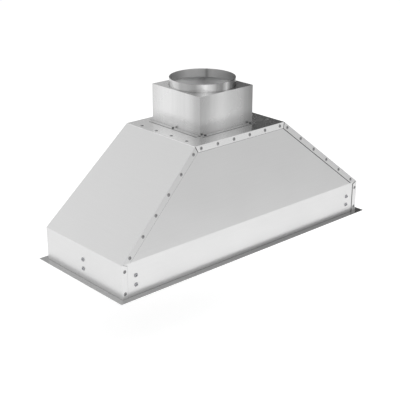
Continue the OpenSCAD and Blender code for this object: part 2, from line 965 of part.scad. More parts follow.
// Circuit board with a switch over each button and posts up to the box
module control_board() {
    post_low = board_low + board_t;
    post_high = deck_top + control_box_h - control_wall;
    color(board_green)
        translate([0, panel_y, 0]) {
            translate([-board_w / 2, -board_d / 2, board_low]) cube([board_w, board_d, board_t]);
            for (i = [0:button_count - 1])
                translate([button_x(i) - switch_w / 2, -switch_w / 2, switch_low])
                    cube([switch_w, switch_w, switch_h]);
            for (s = [-1, 1], f = [-1, 1])
                translate([s * (board_w / 2 - board_margin), f * (board_d / 2 - board_margin), post_low])
                    cylinder(h = post_high - post_low, r = board_margin / 2);
        }
}

module at_lights() {
    for (s = [-1, 1]) translate([s * light_x, panel_y, deck_z]) children();
}

// Bezel: a lip below the deck and a tube through it
module light_bezels() {
    color(steel_mid)
        at_lights()
            difference() {
                union() {
                    translate([0, 0, -bezel_t])
                        cylinder(h = bezel_t, r1 = bezel_r + bezel_lip - bezel_t, r2 = bezel_r + bezel_lip);
                    cylinder(h = bezel_tube_h, r = bezel_r);
                }
                translate([0, 0, -bezel_t - over])
                    cylinder(h = bezel_tube_h + bezel_t + 2 * over, r = bezel_r - bezel_wall);
            }
}

module light_lenses() {
    color(lens_white)
        at_lights()
            translate([0, 0, lens_recess - bezel_t]) cylinder(h = lens_t, r = lens_r);
}

// Cast cup with cooling fins, seated on the bezel's tube
module light_housings() {
    cup_r = bezel_r;
    color(steel_dark)
        at_lights()
            translate([0, 0, bezel_tube_h]) {
                difference() {
                    cylinder(h = cup_h, r = cup_r);
                    translate([0, 0, -over]) cylinder(h = cup_h - cup_wall + over, r = cup_r - cup_wall);
                }
                for (i = [0:fin_count - 1])
                    translate([0, (i - (fin_count - 1) / 2) * 2 * cup_r / (fin_count + 1), cup_h + fin_h / 2])
                        cube([fin_length(i, cup_r), fin_t, fin_h], center = true);
            }
}

function fin_length(i, r) =
    let(y = abs(i - (fin_count - 1) / 2) * 2 * r / (fin_count + 1) + fin_t)
    2 * sqrt(r * r - y * y);

// Spring strips that hold each light down on the deck
module light_clips() {
    low = deck_t;
    grip_z = bezel_tube_h + cup_h / 2;
    color(steel_dark)
        at_lights()
            for (s = [0, 1])
                mirror([s, 0, 0])
                    rotate([90, 0, 0])
                        translate([0, 0, -clip_w / 2])
                            linear_extrude(clip_w)
                                polygon([
                                    [bezel_r, grip_z + clip_w], [bezel_r + clip_t, grip_z + clip_w],
                                    [bezel_r + clip_t, grip_z], [bezel_r + clip_reach, low + clip_t],
                                    [bezel_r + clip_reach, low], [bezel_r + clip_reach - clip_t, low],
                                    [bezel_r, grip_z - clip_t]
                                ]);
}

// Scroll outline in Y and Z, grown outwards by g: three quarter arcs with stepped centres
function arc(c, r, from, to) = [for (i = [0:arc_steps])
    let(a = from + (to - from) * i / arc_steps) [c[0] + r * cos(a), c[1] + r * sin(a)]];

function scroll_points(g, high) =
    let(q = scroll_step, w = [wheel_y, wheel_z], r = cut_r + q / 2)
    let(front = w[0] - q / 2, crown = w[1] + cut_r)
    concat(
        [[front - g, high]],
        arc([front - tongue_r, crown + tongue_r], tongue_r - g, 0, -90),
        arc(w + [-q / 2, -q / 2], r + g, 90, 180),
        arc(w + [q / 2, -q / 2], r + q + g, 180, 270),
        arc(w + [q / 2, q / 2], r + 2 * q + g, 270, 360),
        [[w[0] + cut_r + 3 * q + g, high]]
    );

// Scroll wrap and its outlet flange under the top plate
module blower_scroll() {
    flange_x = neck_w / 2 + neck_flange_w;
    flange_y = neck_d / 2 + neck_flange_w;
    color(zinc)
        difference() {
            union() {
                from_side(-neck_w / 2, neck_w / 2)
                    difference() {
                        polygon(scroll_points(scroll_t, neck_top));
                        polygon(scroll_points(0, neck_top + over));
                    }
                difference() {
                    translate([-flange_x, box_y - flange_y, neck_top])
                        cube([2 * flange_x, 2 * flange_y, scroll_t]);
                    from_side(-neck_w / 2, neck_w / 2)
                        polygon(scroll_points(0, neck_top + scroll_t + over));
                }
            }
            hang_places() cylinder(h = 8 * over, r = hang_r + hole_clear, center = true);
        }
}

module blower_side() {
    color(zinc)
        from_side(neck_w / 2, plate_x)
            difference() {
                polygon(scroll_points(plate_lip, neck_top));
                translate([wheel_y, wheel_z]) circle(inlet_r + inlet_bell, $fn = 96);
            }
}

module blower_right_plate() {
    difference() {
        blower_side();
        arm_places() translate([foot_r, 0, 0]) cylinder(h = 8 * over, r = bolt_r + hole_clear, center = true);
    }
}

module blower_left_plate() {
    mirror([1, 0, 0]) blower_side();
}

// Bell-mouthed ring in each side plate, spun from sheet
module inlet_rings() {
    color(zinc)
        for (s = [0, 1])
            mirror([s, 0, 0])
                translate([plate_x, wheel_y, wheel_z])
                    rotate([0, 90, 0])
                        rotate_extrude($fn = 96) {
                            difference() {
                                translate([inlet_r + inlet_bell, inlet_t - inlet_bell])
                                    circle(inlet_bell);
                                translate([inlet_r + inlet_bell, inlet_t - inlet_bell])
                                    circle(inlet_bell - inlet_t);
                                translate([inlet_r + inlet_bell, -2 * inlet_bell])
                                    square(4 * inlet_bell);
                                translate([0, -3 * inlet_bell])
                                    square([2 * inlet_r, 2 * inlet_bell + inlet_t]);
                            }
                            translate([inlet_r + inlet_bell, 0]) square([inlet_flat, inlet_t]);
                        }
}

// Forward-curved blade: a thin arc from the inner to the outer radius
function blade_edge(side) = [for (i = [0:blade_steps])
    let(s = i / blade_steps, r = wheel_d / 2 - blade_depth + s * blade_depth)
    let(a = blade_lean * s * s + side * asin(blade_t / 2 / r))
    [r * cos(a), r * sin(a)]];

module blower_wheel() {
    outer = wheel_d / 2;
    inner = outer - blade_depth;
    color(zinc)
        translate([0, wheel_y, wheel_z])
            rotate([0, 90, 0])
                difference() {
                    union() {
                        for (i = [0:blade_count - 1])
                            rotate([0, 0, i * 360 / blade_count])
                                translate([0, 0, -wheel_w / 2])
                                    linear_extrude(wheel_w)
                                        polygon(concat(blade_edge(-1),
                                                       [for (k = [blade_steps:-1:0]) blade_edge(1)[k]]));
                        cylinder(h = disc_t, r = outer - disc_t, center = true, $fn = 96);
                        for (s = [0, 1])
                            mirror([0, 0, s])
                                translate([0, 0, wheel_w / 2 - ring_w])
                                    difference() {
                                        cylinder(h = ring_w, r = outer + disc_t, $fn = 96);
                                        translate([0, 0, -over])
                                            cylinder(h = ring_w + 2 * over, r = outer - disc_t, $fn = 96);
                                    }
                    }
                    cylinder(h = 4 * over, r = shaft_r + shaft_clear, center = true);
                }
}

// Hub in two flanged halves against the wheel's disc
module wheel_hub() {
    color(steel_dark)
        translate([0, wheel_y, wheel_z])
            rotate([0, 90, 0])
                difference() {
                    union() {
                        translate([0, 0, -disc_t / 2 - hub_l / 2]) cylinder(h = hub_l / 2, r = hub_r);
                        translate([0, 0, disc_t / 2]) cylinder(h = motor_gap / 2, r = hub_r);
                    }
                    cylinder(h = 3 * hub_l, r = shaft_r + shaft_clear, center = true);
                }
}

module motor_shaft() {
    low = -disc_t / 2 - hub_l / 2 - shaft_tip;
    high = motor_x + motor_l - cap_l;
    color(steel_mid)
        translate([low, wheel_y, wheel_z])
            rotate([0, 90, 0]) cylinder(h = high - low, r = shaft_r);
}

// Motor: a ribbed can between two stepped end caps, with a boss towards the wheel
module motor_body() {
    color(plastic_black)
        translate([motor_x, wheel_y, wheel_z])
            rotate([0, 90, 0])
                difference() {
                    union() {
                        cylinder(h = boss_l, r = boss_r);
                        translate([0, 0, boss_l]) cylinder(h = cap_l, r1 = motor_r - cap_step, r2 = motor_r);
                        translate([0, 0, boss_l + cap_l])
                            cylinder(h = motor_l - boss_l - 2 * cap_l, r = motor_r);
                        translate([0, 0, motor_l - cap_l])
                            cylinder(h = cap_l, r1 = motor_r, r2 = motor_r - cap_step);
                    }
                    cylinder(h = motor_l - cap_step, r = shaft_r + shaft_clear);
                    translate([0, 0, -over]) cylinder(h = 2 * over, r = shaft_r + shaft_clear);
                    for (i = [0:slot_count - 1])
                        rotate([0, 0, i * 360 / slot_count])
                            translate([motor_r, 0, boss_l + cap_l])
                                cube([2 * slot_depth, slot_w, cap_l], center = true);
                }
}

// Frames at the bracket's feet, with +Z along the blower's axis
module arm_places() {
    for (i = [0:arm_count - 1])
        translate([plate_x, wheel_y, wheel_z])
            rotate([0, 90, 0])
                rotate([0, 0, 180 + i * 360 / arm_count]) children();
}

// Clamp ring round the motor with three feet
module motor_bracket() {
    color(zinc)
        difference() {
            union() {
                translate([foot_x, wheel_y, wheel_z])
                    rotate([0, 90, 0]) cylinder(h = clamp_w, r = motor_r + clamp_gap + clamp_t);
                arm_places()
                    translate([arm_start, -arm_w / 2, grommet_low])
                        cube([foot_r - arm_start + foot_l / 2, arm_w, arm_t]);
            }
            translate([0, wheel_y, wheel_z])
                rotate([0, 90, 0]) cylinder(h = 2 * neck_w, r = motor_r + clamp_gap);
            arm_places() translate([foot_r, 0, 0])
                cylinder(h = 8 * over, r = grommet_neck + hole_clear);
        }
}

module motor_grommets() {
    color(rubber_black)
        arm_places()
            translate([foot_r, 0, 0])
                difference() {
                    union() {
                        cylinder(h = grommet_low, r = grommet_r);
                        cylinder(h = grommet_low + arm_t + grommet_high, r = grommet_neck);
                        translate([0, 0, grommet_low + arm_t]) cylinder(h = grommet_high, r = grommet_r);
                    }
                    translate([0, 0, -over])
                        cylinder(h = neck_w, r = bolt_r + hole_clear);
                }
}

module motor_bolts() {
    stack = grommet_low + arm_t + grommet_high;
    color(zinc)
        arm_places()
            translate([foot_r, 0, 0]) {
                translate([0, 0, stack]) cylinder(h = bolt_head_h, r = bolt_head_r, $fn = 6);
                translate([0, 0, -scroll_t - nut_h]) cylinder(h = stack + scroll_t + nut_h, r = bolt_r);
                translate([0, 0, -scroll_t - nut_h]) cylinder(h = nut_h, r = nut_r, $fn = 6);
            }
}

// Places of the screws that hold blower and damper to the top plate
module hang_places() {
    for (s = [-1, 1], k = [-1, 1]) {
        translate([s * hang_offset, box_y + k * hang_spread, top_z]) children();
        translate([k * hang_spread, box_y + s * hang_offset, top_z]) children();
    }
}

module blower_screws() {
    low = sheet_t + scroll_t;
    color(zinc)
        hang_places() {
            translate([0, 0, damper_wall])
                cylinder(h = hang_head_h, r1 = hang_head_r, r2 = hang_head_r * head_taper_share);
            translate([0, 0, -low - nut_h]) cylinder(h = low + nut_h + damper_wall, r = hang_r);
            translate([0, 0, -low - nut_h]) cylinder(h = nut_h, r = nut_r, $fn = 6);
        }
}

// Frame of the back-draught damper, on the top plate inside the duct box
module damper_frame() {
    half = damper_half;
    hole = damper_hole;
    color(zinc)
        translate([0, box_y, top_z])
            difference() {
                translate([-half, -half, 0]) cube([2 * half, 2 * half, damper_frame_h]);
                translate([-half + damper_wall, -half + damper_wall, damper_wall])
                    cube([2 * half - 2 * damper_wall, 2 * half - 2 * damper_wall, damper_frame_h]);
                for (s = [0, 1])
                    mirror([s, 0, 0])
                        translate([damper_bar, -hole, -over])
                            cube([hole - damper_bar, 2 * hole, damper_frame_h]);
                for (s = [-1, 1])
                    translate([s * pin_x, 0, pin_z - top_z])
                        rotate([90, 0, 0])
                            cylinder(h = 3 * half, r = pin_r + pin_clear, center = true);
                translate([0, -box_y, -top_z]) hang_places()
                    cylinder(h = 8 * over, r = hang_r + hole_clear, center = true);
            }
}

// Damper flap with a rolled knuckle round its pin
module damper_flap() {
    knuckle_l = damper_flap_l * knuckle_share;
    color(steel_mid)
        translate([pin_x, box_y, pin_z])
            difference() {
                union() {
                    translate([0, -damper_flap_l / 2, -knuckle_r])
                        cube([damper_flap_w, damper_flap_l, damper_t]);
                    rotate([90, 0, 0]) cylinder(h = knuckle_l, r = knuckle_r, center = true);
                }
                rotate([90, 0, 0]) cylinder(h = 2 * damper_flap_l, r = pin_r + pin_clear, center = true);
            }
}

module right_damper_flap() {
    damper_flap();
}

module left_damper_flap() {
    mirror([1, 0, 0]) damper_flap();
}

module damper_pins() {
    reach = damper_half;
    color(steel_dark)
        for (s = [-1, 1], f = [0, 1])
            translate([s * pin_x, box_y, pin_z])
                mirror([0, f, 0])
                    rotate([90, 0, 0]) {
                        cylinder(h = reach, r = pin_r);
                        translate([0, 0, reach]) cylinder(h = pin_head_h, r = pin_head_r);
                    }
}

// Wiring box on the rear panel with two screw tabs, open to the front
module wiring_box() {
    color(zinc)
        translate([wire_x, rear_in, wire_z])
            difference() {
                union() {
                    translate([-wire_w / 2, -wire_d, -wire_h / 2]) cube([wire_w, wire_d, wire_h]);
                    translate([-wire_w / 2 - wire_tab, -wire_t, -wire_h / 4])
                        cube([wire_w + 2 * wire_tab, wire_t, wire_h / 2]);
                }
                translate([-wire_w / 2 + wire_t, -wire_d - over, -wire_h / 2 + wire_t])
                    cube([wire_w - 2 * wire_t, wire_d - wire_t + over, wire_h - 2 * wire_t]);
                rotate([90, 0, 0]) cylinder(h = 4 * over, r = conduit_r, center = true);
            }
}

module wiring_box_cover() {
    color(zinc)
        translate([wire_x, rear_in - wire_d, wire_z])
            difference() {
                translate([-wire_w / 2 - wire_t, -wire_t, -wire_h / 2 - wire_t])
                    cube([wire_w + 2 * wire_t, wire_tab + wire_t, wire_h + 2 * wire_t]);
                translate([-wire_w / 2, 0, -wire_h / 2]) cube([wire_w, wire_d, wire_h]);
            }
}

// Run capacitor standing in the wiring box
module run_capacitor() {
    low = wire_z - wire_h / 2 + wire_t;
    x = wire_x - wire_w / 2 + wire_t + inner_gap + capacitor_r;
    y = rear_in - wire_t - inner_gap - capacitor_r;
    color(plastic_white)
        translate([x, y, low]) {
            cylinder(h = capacitor_l, r = capacitor_r);
            translate([0, 0, capacitor_l]) cylinder(h = capacitor_cap, r = capacitor_r / 2);
        }
}

module light_driver() {
    low = wire_z - wire_h / 2 + wire_t;
    x = wire_x + wire_w / 2 - wire_t - driver_w;
    color(plastic_white)
        translate([x, rear_in - wire_d + inner_gap, low]) cube([driver_w, driver_d, driver_l]);
}

// Snap bushing in the conduit hole, seated on the wiring box's inner face
module conduit_bushing() {
    color(plastic_black)
        translate([wire_x, rear_in - wire_t, wire_z])
            rotate([90, 0, 0])
                difference() {
                    cylinder(h = bushing_t, r = bushing_r);
                    translate([0, 0, -over]) cylinder(h = bushing_t + 2 * over, r = conduit_r);
                }
}

left_side_panel();
right_side_panel();
front_panel();
rear_panel();
top_plate();
bottom_flange();
duct_box();
duct_collar();
duct_box_screws();
front_seam_rivets();
rear_seam_rivets();
top_edge_rivets();
band_screws();
underside_deck();
filter_frame(-filter_pitch);  // left_filter_frame
filter_baffles(-filter_pitch);  // left_filter_baffles
filter_handle(-filter_pitch);  // left_filter_handle
filter_catches(-filter_pitch);  // left_filter_catches
filter_frame(0);  // centre_filter_frame
filter_baffles(0);  // centre_filter_baffles
filter_handle(0);  // centre_filter_handle
filter_catches(0);  // centre_filter_catches
filter_frame(filter_pitch);  // right_filter_frame
filter_baffles(filter_pitch);  // right_filter_baffles
filter_handle(filter_pitch);  // right_filter_handle
filter_catches(filter_pitch);  // right_filter_catches
control_plate();
push_button(0);  // light_button
push_button(1);  // fan_off_button
push_button(2);  // fan_low_button
push_button(3);  // fan_medium_button
push_button(4);  // fan_high_button
control_box();
control_board();
light_bezels();
light_lenses();
light_housings();
light_clips();
blower_scroll();
blower_left_plate();
blower_right_plate();
inlet_rings();
blower_wheel();
wheel_hub();
motor_shaft();
motor_body();
motor_bracket();
motor_grommets();
motor_bolts();
blower_screws();
damper_frame();
left_damper_flap();
right_damper_flap();
damper_pins();
wiring_box();
wiring_box_cover();
run_capacitor();
light_driver();
conduit_bushing();
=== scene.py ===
import math

import bpy
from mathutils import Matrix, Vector

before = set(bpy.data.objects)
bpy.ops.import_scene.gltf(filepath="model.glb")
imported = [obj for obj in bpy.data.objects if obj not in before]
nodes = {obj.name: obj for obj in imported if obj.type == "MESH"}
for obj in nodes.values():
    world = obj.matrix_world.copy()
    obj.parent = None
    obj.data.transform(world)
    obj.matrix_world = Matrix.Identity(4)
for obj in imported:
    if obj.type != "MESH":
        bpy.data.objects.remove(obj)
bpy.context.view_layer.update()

MM = 0.001
bpy.context.scene.view_settings.view_transform = "Standard"

# Camera. The photo is a long-lens view from the front left and above, with the body a little
# below the middle. The place and the turn were worked out from the corners of the band, the top
# plate and the duct box.
camera_place = Vector((-1.878, -2.034, 1.199))
camera_turn = math.radians(42.013)
camera_tilt = math.radians(21.444)
camera_data = bpy.data.cameras.new("camera")
camera_data.lens = 85.96
camera_data.sensor_width = 36
camera_data.clip_start = 0.05
camera_data.clip_end = 60
camera = bpy.data.objects.new("camera", camera_data)
camera.location = camera_place
camera.rotation_euler = (math.pi / 2 - camera_tilt, 0, -camera_turn)
bpy.context.scene.collection.objects.link(camera)
bpy.context.scene.camera = camera


# Studio. A white sweep and soft lamps. The insert hangs in a cabinet in use, so the floor lies
# low enough for the filters to swing down, and it takes the faint shadow below the hood.
def linear(code):
    """An sRGB hex colour as linear red, green, blue and alpha."""
    parts = [int(code[i:i + 2], 16) / 255 for i in (1, 3, 5)]
    return [c / 12.92 if c <= 0.04045 else ((c + 0.055) / 1.055) ** 2.4 for c in parts] + [1.0]


def add_node(tree, kind, settings=None, links=None):
    """A node of one kind with its settings, by property or socket, and its links, by socket."""
    node = tree.nodes.new(kind)
    for name, value in (settings or {}).items():
        if isinstance(name, str) and hasattr(node, name):
            setattr(node, name, value)
        else:
            node.inputs[name].default_value = value
    for name, source in (links or {}).items():
        tree.links.new(source, node.inputs[name])
    return node


def new_material(name):
    """An empty node material with its tree."""
    material = bpy.data.materials.new(name)
    material.use_nodes = True
    material.node_tree.nodes.clear()
    return material, material.node_tree


floor_level = -0.34
floor_reach = 9.0
floor_mesh = bpy.data.meshes.new("studio_floor")
floor_corners = [(-floor_reach, -floor_reach), (floor_reach, -floor_reach),
                 (floor_reach, floor_reach), (-floor_reach, floor_reach)]
floor_mesh.from_pydata([(x, y, floor_level) for x, y in floor_corners], [], [(0, 1, 2, 3)])
floor = bpy.data.objects.new("studio_floor", floor_mesh)
bpy.context.scene.collection.objects.link(floor)


def seen_rays(tree, rays):
    """One for what the camera sees, straight, mirrored or through a clear piece, and else zero."""
    seen = add_node(tree, "ShaderNodeMath", {"operation": "MAXIMUM"},
                    {0: rays.outputs["Is Camera Ray"], 1: rays.outputs["Is Glossy Ray"]})
    return add_node(tree, "ShaderNodeMath", {"operation": "MAXIMUM"},
                    {0: seen.outputs[0], 1: rays.outputs["Is Transmission Ray"]}).outputs[0]


# The paper glows only for the camera and for reflections, so it reads white and adds no light.
# The camera sees a little more of it, so that the paper's end doesn't show as a horizon.
floor_glow = 0.37
horizon_glow = 0.05
paper, tree = new_material("white paper sweep")
rays = add_node(tree, "ShaderNodeLightPath")
straight = add_node(tree, "ShaderNodeMath", {"operation": "MULTIPLY", 1: horizon_glow},
                    {0: rays.outputs["Is Camera Ray"]})
glow_level = add_node(tree, "ShaderNodeMath", {"operation": "MULTIPLY_ADD", 1: floor_glow},
                      {0: seen_rays(tree, rays), 2: straight.outputs[0]})
paper_lit = add_node(tree, "ShaderNodeBsdfDiffuse", {"Color": linear("#F4F4F4")})
paper_glow = add_node(tree, "ShaderNodeEmission", {"Color": linear("#FFFFFF")},
                      {"Strength": glow_level.outputs[0]})
paper_sum = add_node(tree, "ShaderNodeAddShader",
                     links={0: paper_lit.outputs[0], 1: paper_glow.outputs[0]})
see_through = add_node(tree, "ShaderNodeBsdfTransparent")
facing = add_node(tree, "ShaderNodeNewGeometry")
paper_mix = add_node(tree, "ShaderNodeMixShader",
                     links={"Fac": facing.outputs["Backfacing"], 1: paper_sum.outputs[0],
                            2: see_through.outputs[0]})
add_node(tree, "ShaderNodeOutputMaterial", links={"Surface": paper_mix.outputs[0]})
floor_mesh.materials.append(paper)

# The air round the set is white to look at and lights the object softly
air_light = 0.65
world = bpy.data.worlds.new("studio")
bpy.context.scene.world = world
world.use_nodes = True
tree = world.node_tree
tree.nodes.clear()
rays = add_node(tree, "ShaderNodeLightPath")
soft_air = add_node(tree, "ShaderNodeBackground", {"Color": linear("#FFFFFF"), "Strength": air_light})
white_air = add_node(tree, "ShaderNodeBackground", {"Color": linear("#FFFFFF"), "Strength": 1.0})
air = add_node(tree, "ShaderNodeMixShader",
               links={"Fac": seen_rays(tree, rays), 1: soft_air.outputs[0], 2: white_air.outputs[0]})
add_node(tree, "ShaderNodeOutputWorld", links={"Surface": air.outputs[0]})

hood_middle = Vector((0, 0, 0.2))


def soft_lamp(name, place, size, power):
    """A softbox: an area lamp turned towards the hood. The metal doesn't mirror it, so that no
    face burns out."""
    data = bpy.data.lights.new(name, "AREA")
    data.shape = "RECTANGLE"
    data.size, data.size_y = size
    data.energy = power
    lamp = bpy.data.objects.new(name, data)
    lamp.location = place
    lamp.rotation_euler = (hood_middle - Vector(place)).to_track_quat("-Z", "Y").to_euler()
    lamp.visible_glossy = False
    bpy.context.scene.collection.objects.link(lamp)


# Place and size in metres, power in watts
soft_lamp("key_softbox", place=(-1.6, -2.2, 2.6), size=(1.6, 1.6), power=30)
soft_lamp("fill_softbox", place=(2.4, -1.6, 1.6), size=(1.4, 1.4), power=10)
soft_lamp("rear_softbox", place=(0.6, 2.6, 2.0), size=(1.6, 1.2), power=10)


# Cards stand round the set and show only in the metal, as a studio uses them to shape it: a
# grey one behind on the left, a dark one behind, pale ones on the right and at the front right,
# and a white one overhead.
def reflection_card(name, middle, aim, size, code):
    """A flat card that only reflections see, facing a point, with an even tone."""
    half_w, half_h = size[0] / 2, size[1] / 2
    mesh = bpy.data.meshes.new(name)
    corners = [(-half_w, -half_h, 0), (half_w, -half_h, 0), (half_w, half_h, 0), (-half_w, half_h, 0)]
    mesh.from_pydata(corners, [], [(0, 1, 2, 3)])
    card = bpy.data.objects.new(name, mesh)
    card.location = middle
    card.rotation_euler = (Vector(aim) - Vector(middle)).to_track_quat("Z", "Y").to_euler()
    card.visible_camera = False
    card.visible_diffuse = False
    card.visible_shadow = False
    card.visible_transmission = False
    bpy.context.scene.collection.objects.link(card)
    cloth, tree = new_material(name)
    tone = add_node(tree, "ShaderNodeEmission", {"Color": linear(code), "Strength": 1.0})
    add_node(tree, "ShaderNodeOutputMaterial", links={"Surface": tone.outputs[0]})
    mesh.materials.append(cloth)


# Each card's name, middle, aim, width and height in metres, and tone
cards = [("rear_left_card", (0.85, 2.19, 1.45), (0.18, 1.45, 1.45), (1.54, 2.0), "#BEBEBE"),
         ("rear_card", (2.54, 0.68, 1.45), (1.87, -0.07, 1.45), (3.0, 2.0), "#4A4A4A"),
         ("right_card", (1.9, -0.1, 0.3), (0.9, -0.1, 0.3), (1.3, 1.2), "#CCCCCC"),
         ("front_card", (1.35, -1.75, 0.66), (0.35, -0.75, 0.66), (3.2, 2.0), "#DFDFDF"),
         ("overhead_card", (-0.6, 1.2, 3.4), (-0.3, 0.4, 0), (7.0, 5.0), "#EFEFEF")]
for card in cards:
    reflection_card(*card)


# Side panels. Each is one folded sheet of 1 mm stainless steel with the band, the slope, the lip
# under the top plate and the riveted seam flaps. The brush ran front to back, which leaves faint
# lines on a pale satin face, and painted shade darkens the flaps' cut edges and the inner side.
def shades(code, spread):
    """A colour a little darker and one a little paler than a code, for a pattern to run between."""
    base = linear(code)[:3]
    darker = [c * (1 - spread) for c in base] + [1]
    paler = [min(1, c * (1 + spread)) for c in base] + [1]
    return darker, paler


def brushed_stainless(name, code, along, roughness, line_mm=1.6, reach_mm=110, depth=0.012,
                      darkened=None, banded=None, dull=None):
    """Brushed 304 stainless steel. along is the brush's axis. The real lines lie about a tenth of
    a millimetre apart, too fine to show, so they are drawn coarser. Painted shade darkens creases
    and corners. darkened marks dark lines of painted shade at gaps, slits and edges, banded gives
    broad painted bands of sheen and shade, and dull the tone and the mark of an inner side that
    was left with its mill finish."""
    material, tree = new_material(name)
    place = add_node(tree, "ShaderNodeTexCoord")
    across = 1 / (line_mm * MM)
    pace = [across, across, across]
    pace["XYZ".index(along)] = 1 / (reach_mm * MM)
    lie = add_node(tree, "ShaderNodeMapping", {"Scale": pace}, {"Vector": place.outputs["Object"]})
    lines = add_node(tree, "ShaderNodeTexNoise", {"Scale": 1.0, "Detail": 3.0, "Roughness": 0.6},
                     {"Vector": lie.outputs["Vector"]})
    cloud_mm = 160
    cloud = add_node(tree, "ShaderNodeTexNoise", {"Scale": 1 / (cloud_mm * MM), "Detail": 2.0},
                     {"Vector": place.outputs["Object"]})
    noise_low, noise_high = 0.3, 0.7
    tone = add_node(tree, "ShaderNodeMapRange", {"From Min": noise_low, "From Max": noise_high},
                    {"Value": lines.outputs["Fac"]})
    darker, paler = shades(code, depth)
    face = add_node(tree, "ShaderNodeMix", {"data_type": "RGBA", 6: darker, 7: paler},
                    {"Factor": tone.outputs["Result"]})
    # Painted shade: ambient occlusion darkens the colour in creases, corners and round raised parts.
    crease_mm = 2.5
    crease_share = 0.66
    crease = add_node(tree, "ShaderNodeAmbientOcclusion", {"samples": 12, "Distance": crease_mm * MM})
    crease_painted_shade = add_node(tree, "ShaderNodeMapRange",
                           {"From Min": 0.35, "From Max": 0.95, "To Min": crease_share, "To Max": 1.0},
                           {"Value": crease.outputs["AO"]})
    shaded = add_node(tree, "ShaderNodeMix",
                      {"data_type": "RGBA", "blend_type": "MULTIPLY", "Factor": 1.0},
                      {6: face.outputs[2], 7: crease_painted_shade.outputs["Result"]})
    colour = shaded.outputs[2]
    if banded:
        bands = add_node(tree, "ShaderNodeMix",
                         {"data_type": "RGBA", "blend_type": "MULTIPLY", "Factor": 1.0},
                         {6: colour, 7: banded(tree, place)})
        colour = bands.outputs[2]
    # Painted shade: the marked lines, slits and edges are mixed towards a dark grey.
    if darkened:
        mask = darkened(tree, place)
        dark = add_node(tree, "ShaderNodeMix", {"data_type": "RGBA", 7: linear("#3C3C3D")},
                        {"Factor": mask, 6: colour})
        colour = dark.outputs[2]
    swing = 0.04
    rough = add_node(tree, "ShaderNodeMapRange",
                     {"From Min": noise_low, "From Max": noise_high,
                      "To Min": roughness - swing, "To Max": roughness + swing},
                     {"Value": cloud.outputs["Fac"]})
    fold_mm = 0.8
    fold = add_node(tree, "ShaderNodeBevel", {"samples": 4, "Radius": fold_mm * MM})
    groove_mm = 0.02
    bump = add_node(tree, "ShaderNodeBump", {"Strength": 0.2, "Distance": groove_mm * MM},
                    {"Height": lines.outputs["Fac"], "Normal": fold.outputs["Normal"]})
    steel = add_node(tree, "ShaderNodeBsdfPrincipled", {"Metallic": 1.0},
                     {"Base Color": colour, "Roughness": rough.outputs["Result"],
                      "Normal": bump.outputs["Normal"]})
    if dull:
        mill_tone, inner = [made(tree, place) for made in dull]
        mill_shine, mill_rough = 0.35, 0.42
        mill = add_node(tree, "ShaderNodeMix", {"data_type": "RGBA"},
                        {"Factor": inner, 6: colour, 7: mill_tone})
        shine = add_node(tree, "ShaderNodeMapRange", {"To Min": 1.0, "To Max": mill_shine},
                         {"Value": inner})
        haze = add_node(tree, "ShaderNodeMix", {"data_type": "FLOAT", 3: mill_rough},
                        {"Factor": inner, 2: rough.outputs["Result"]})
        tree.links.new(mill.outputs[2], steel.inputs["Base Color"])
        tree.links.new(shine.outputs["Result"], steel.inputs["Metallic"])
        tree.links.new(haze.outputs[0], steel.inputs["Roughness"])
    add_node(tree, "ShaderNodeOutputMaterial", links={"Surface": steel.outputs[0]})
    return material


def painted_shade_towards(side):
    """Painted shade on the faces that look towards one end of the hood: the cut edges of the other
    end's flaps and the panel's inner side.
    """
    shade_share = 0.8

    def mark(tree, place):
        turned = add_node(tree, "ShaderNodeVectorMath", {"operation": "DOT_PRODUCT", 1: (side, 0, 0)},
                          {0: place.outputs["Normal"]})
        return add_node(tree, "ShaderNodeMapRange",
                        {"From Min": 0.5, "From Max": 0.8, "To Max": shade_share},
                        {"Value": turned.outputs["Value"]}).outputs["Result"]
    return mark


def dress(node, material):
    """Gives one of the hood's pieces its material."""
    mesh = nodes[node].data
    mesh.materials.clear()
    mesh.materials.append(material)


sheet_rough = 0.33
for end, inwards in (("left", 1), ("right", -1)):
    dress(end + "_side_panel",
          brushed_stainless("brushed stainless steel, " + end + " panel", "#DCDCDC", "Y", sheet_rough,
                            darkened=painted_shade_towards(inwards)))

# Front and rear panels. Long sheets of the same steel, brushed along their length, that lie
# behind the seam flaps. A thin line of painted shadow follows the flaps' inner edges, widest at
# the right end. It is drawn wider than the real shadow gap, which would be too fine to show.
band_h_mm = 103
top_z_mm = 358
half_w_mm = 489
half_top_mm = 182
flap_w_mm = 18.5
setback_mm = 49
slope_h_mm = top_z_mm - band_h_mm
hip_run = (half_w_mm - half_top_mm) / slope_h_mm
front_rise = math.hypot(slope_h_mm, setback_mm)
top_flap_mm = flap_w_mm * slope_h_mm / front_rise
hip_slant = math.atan2(front_rise, half_w_mm - half_top_mm)
hip_flap_mm = flap_w_mm / math.sin(hip_slant)
mitre_mm = hip_flap_mm - top_flap_mm * hip_run
notch_mm = 6.5
notch_root_mm = 3
top_shadow_mm = 1.3
hip_shadow_mm = {1: 2.2, -1: 1.4}
upright_shadow_mm = {1: 2.6, -1: 1.1}


def beyond(tree, place, normal, offset_mm, width_mm):
    """Marks what lies past a line on the sheet, from a width before it."""
    length = math.hypot(*normal)
    unit = [c / length for c in normal]
    start = (offset_mm / length - width_mm) * MM
    reach = add_node(tree, "ShaderNodeVectorMath", {"operation": "DOT_PRODUCT", 1: unit},
                     {0: place.outputs["Object"]})
    fade_mm = 0.4
    return add_node(tree, "ShaderNodeMapRange", {"From Min": start, "From Max": start + fade_mm * MM},
                    {"Value": reach.outputs["Value"]}).outputs["Result"]


def either(tree, marks):
    """The strongest of several marks."""
    strongest = marks[0]
    for mark in marks[1:]:
        strongest = add_node(tree, "ShaderNodeMath", {"operation": "MAXIMUM"},
                             {0: strongest, 1: mark}).outputs[0]
    return strongest


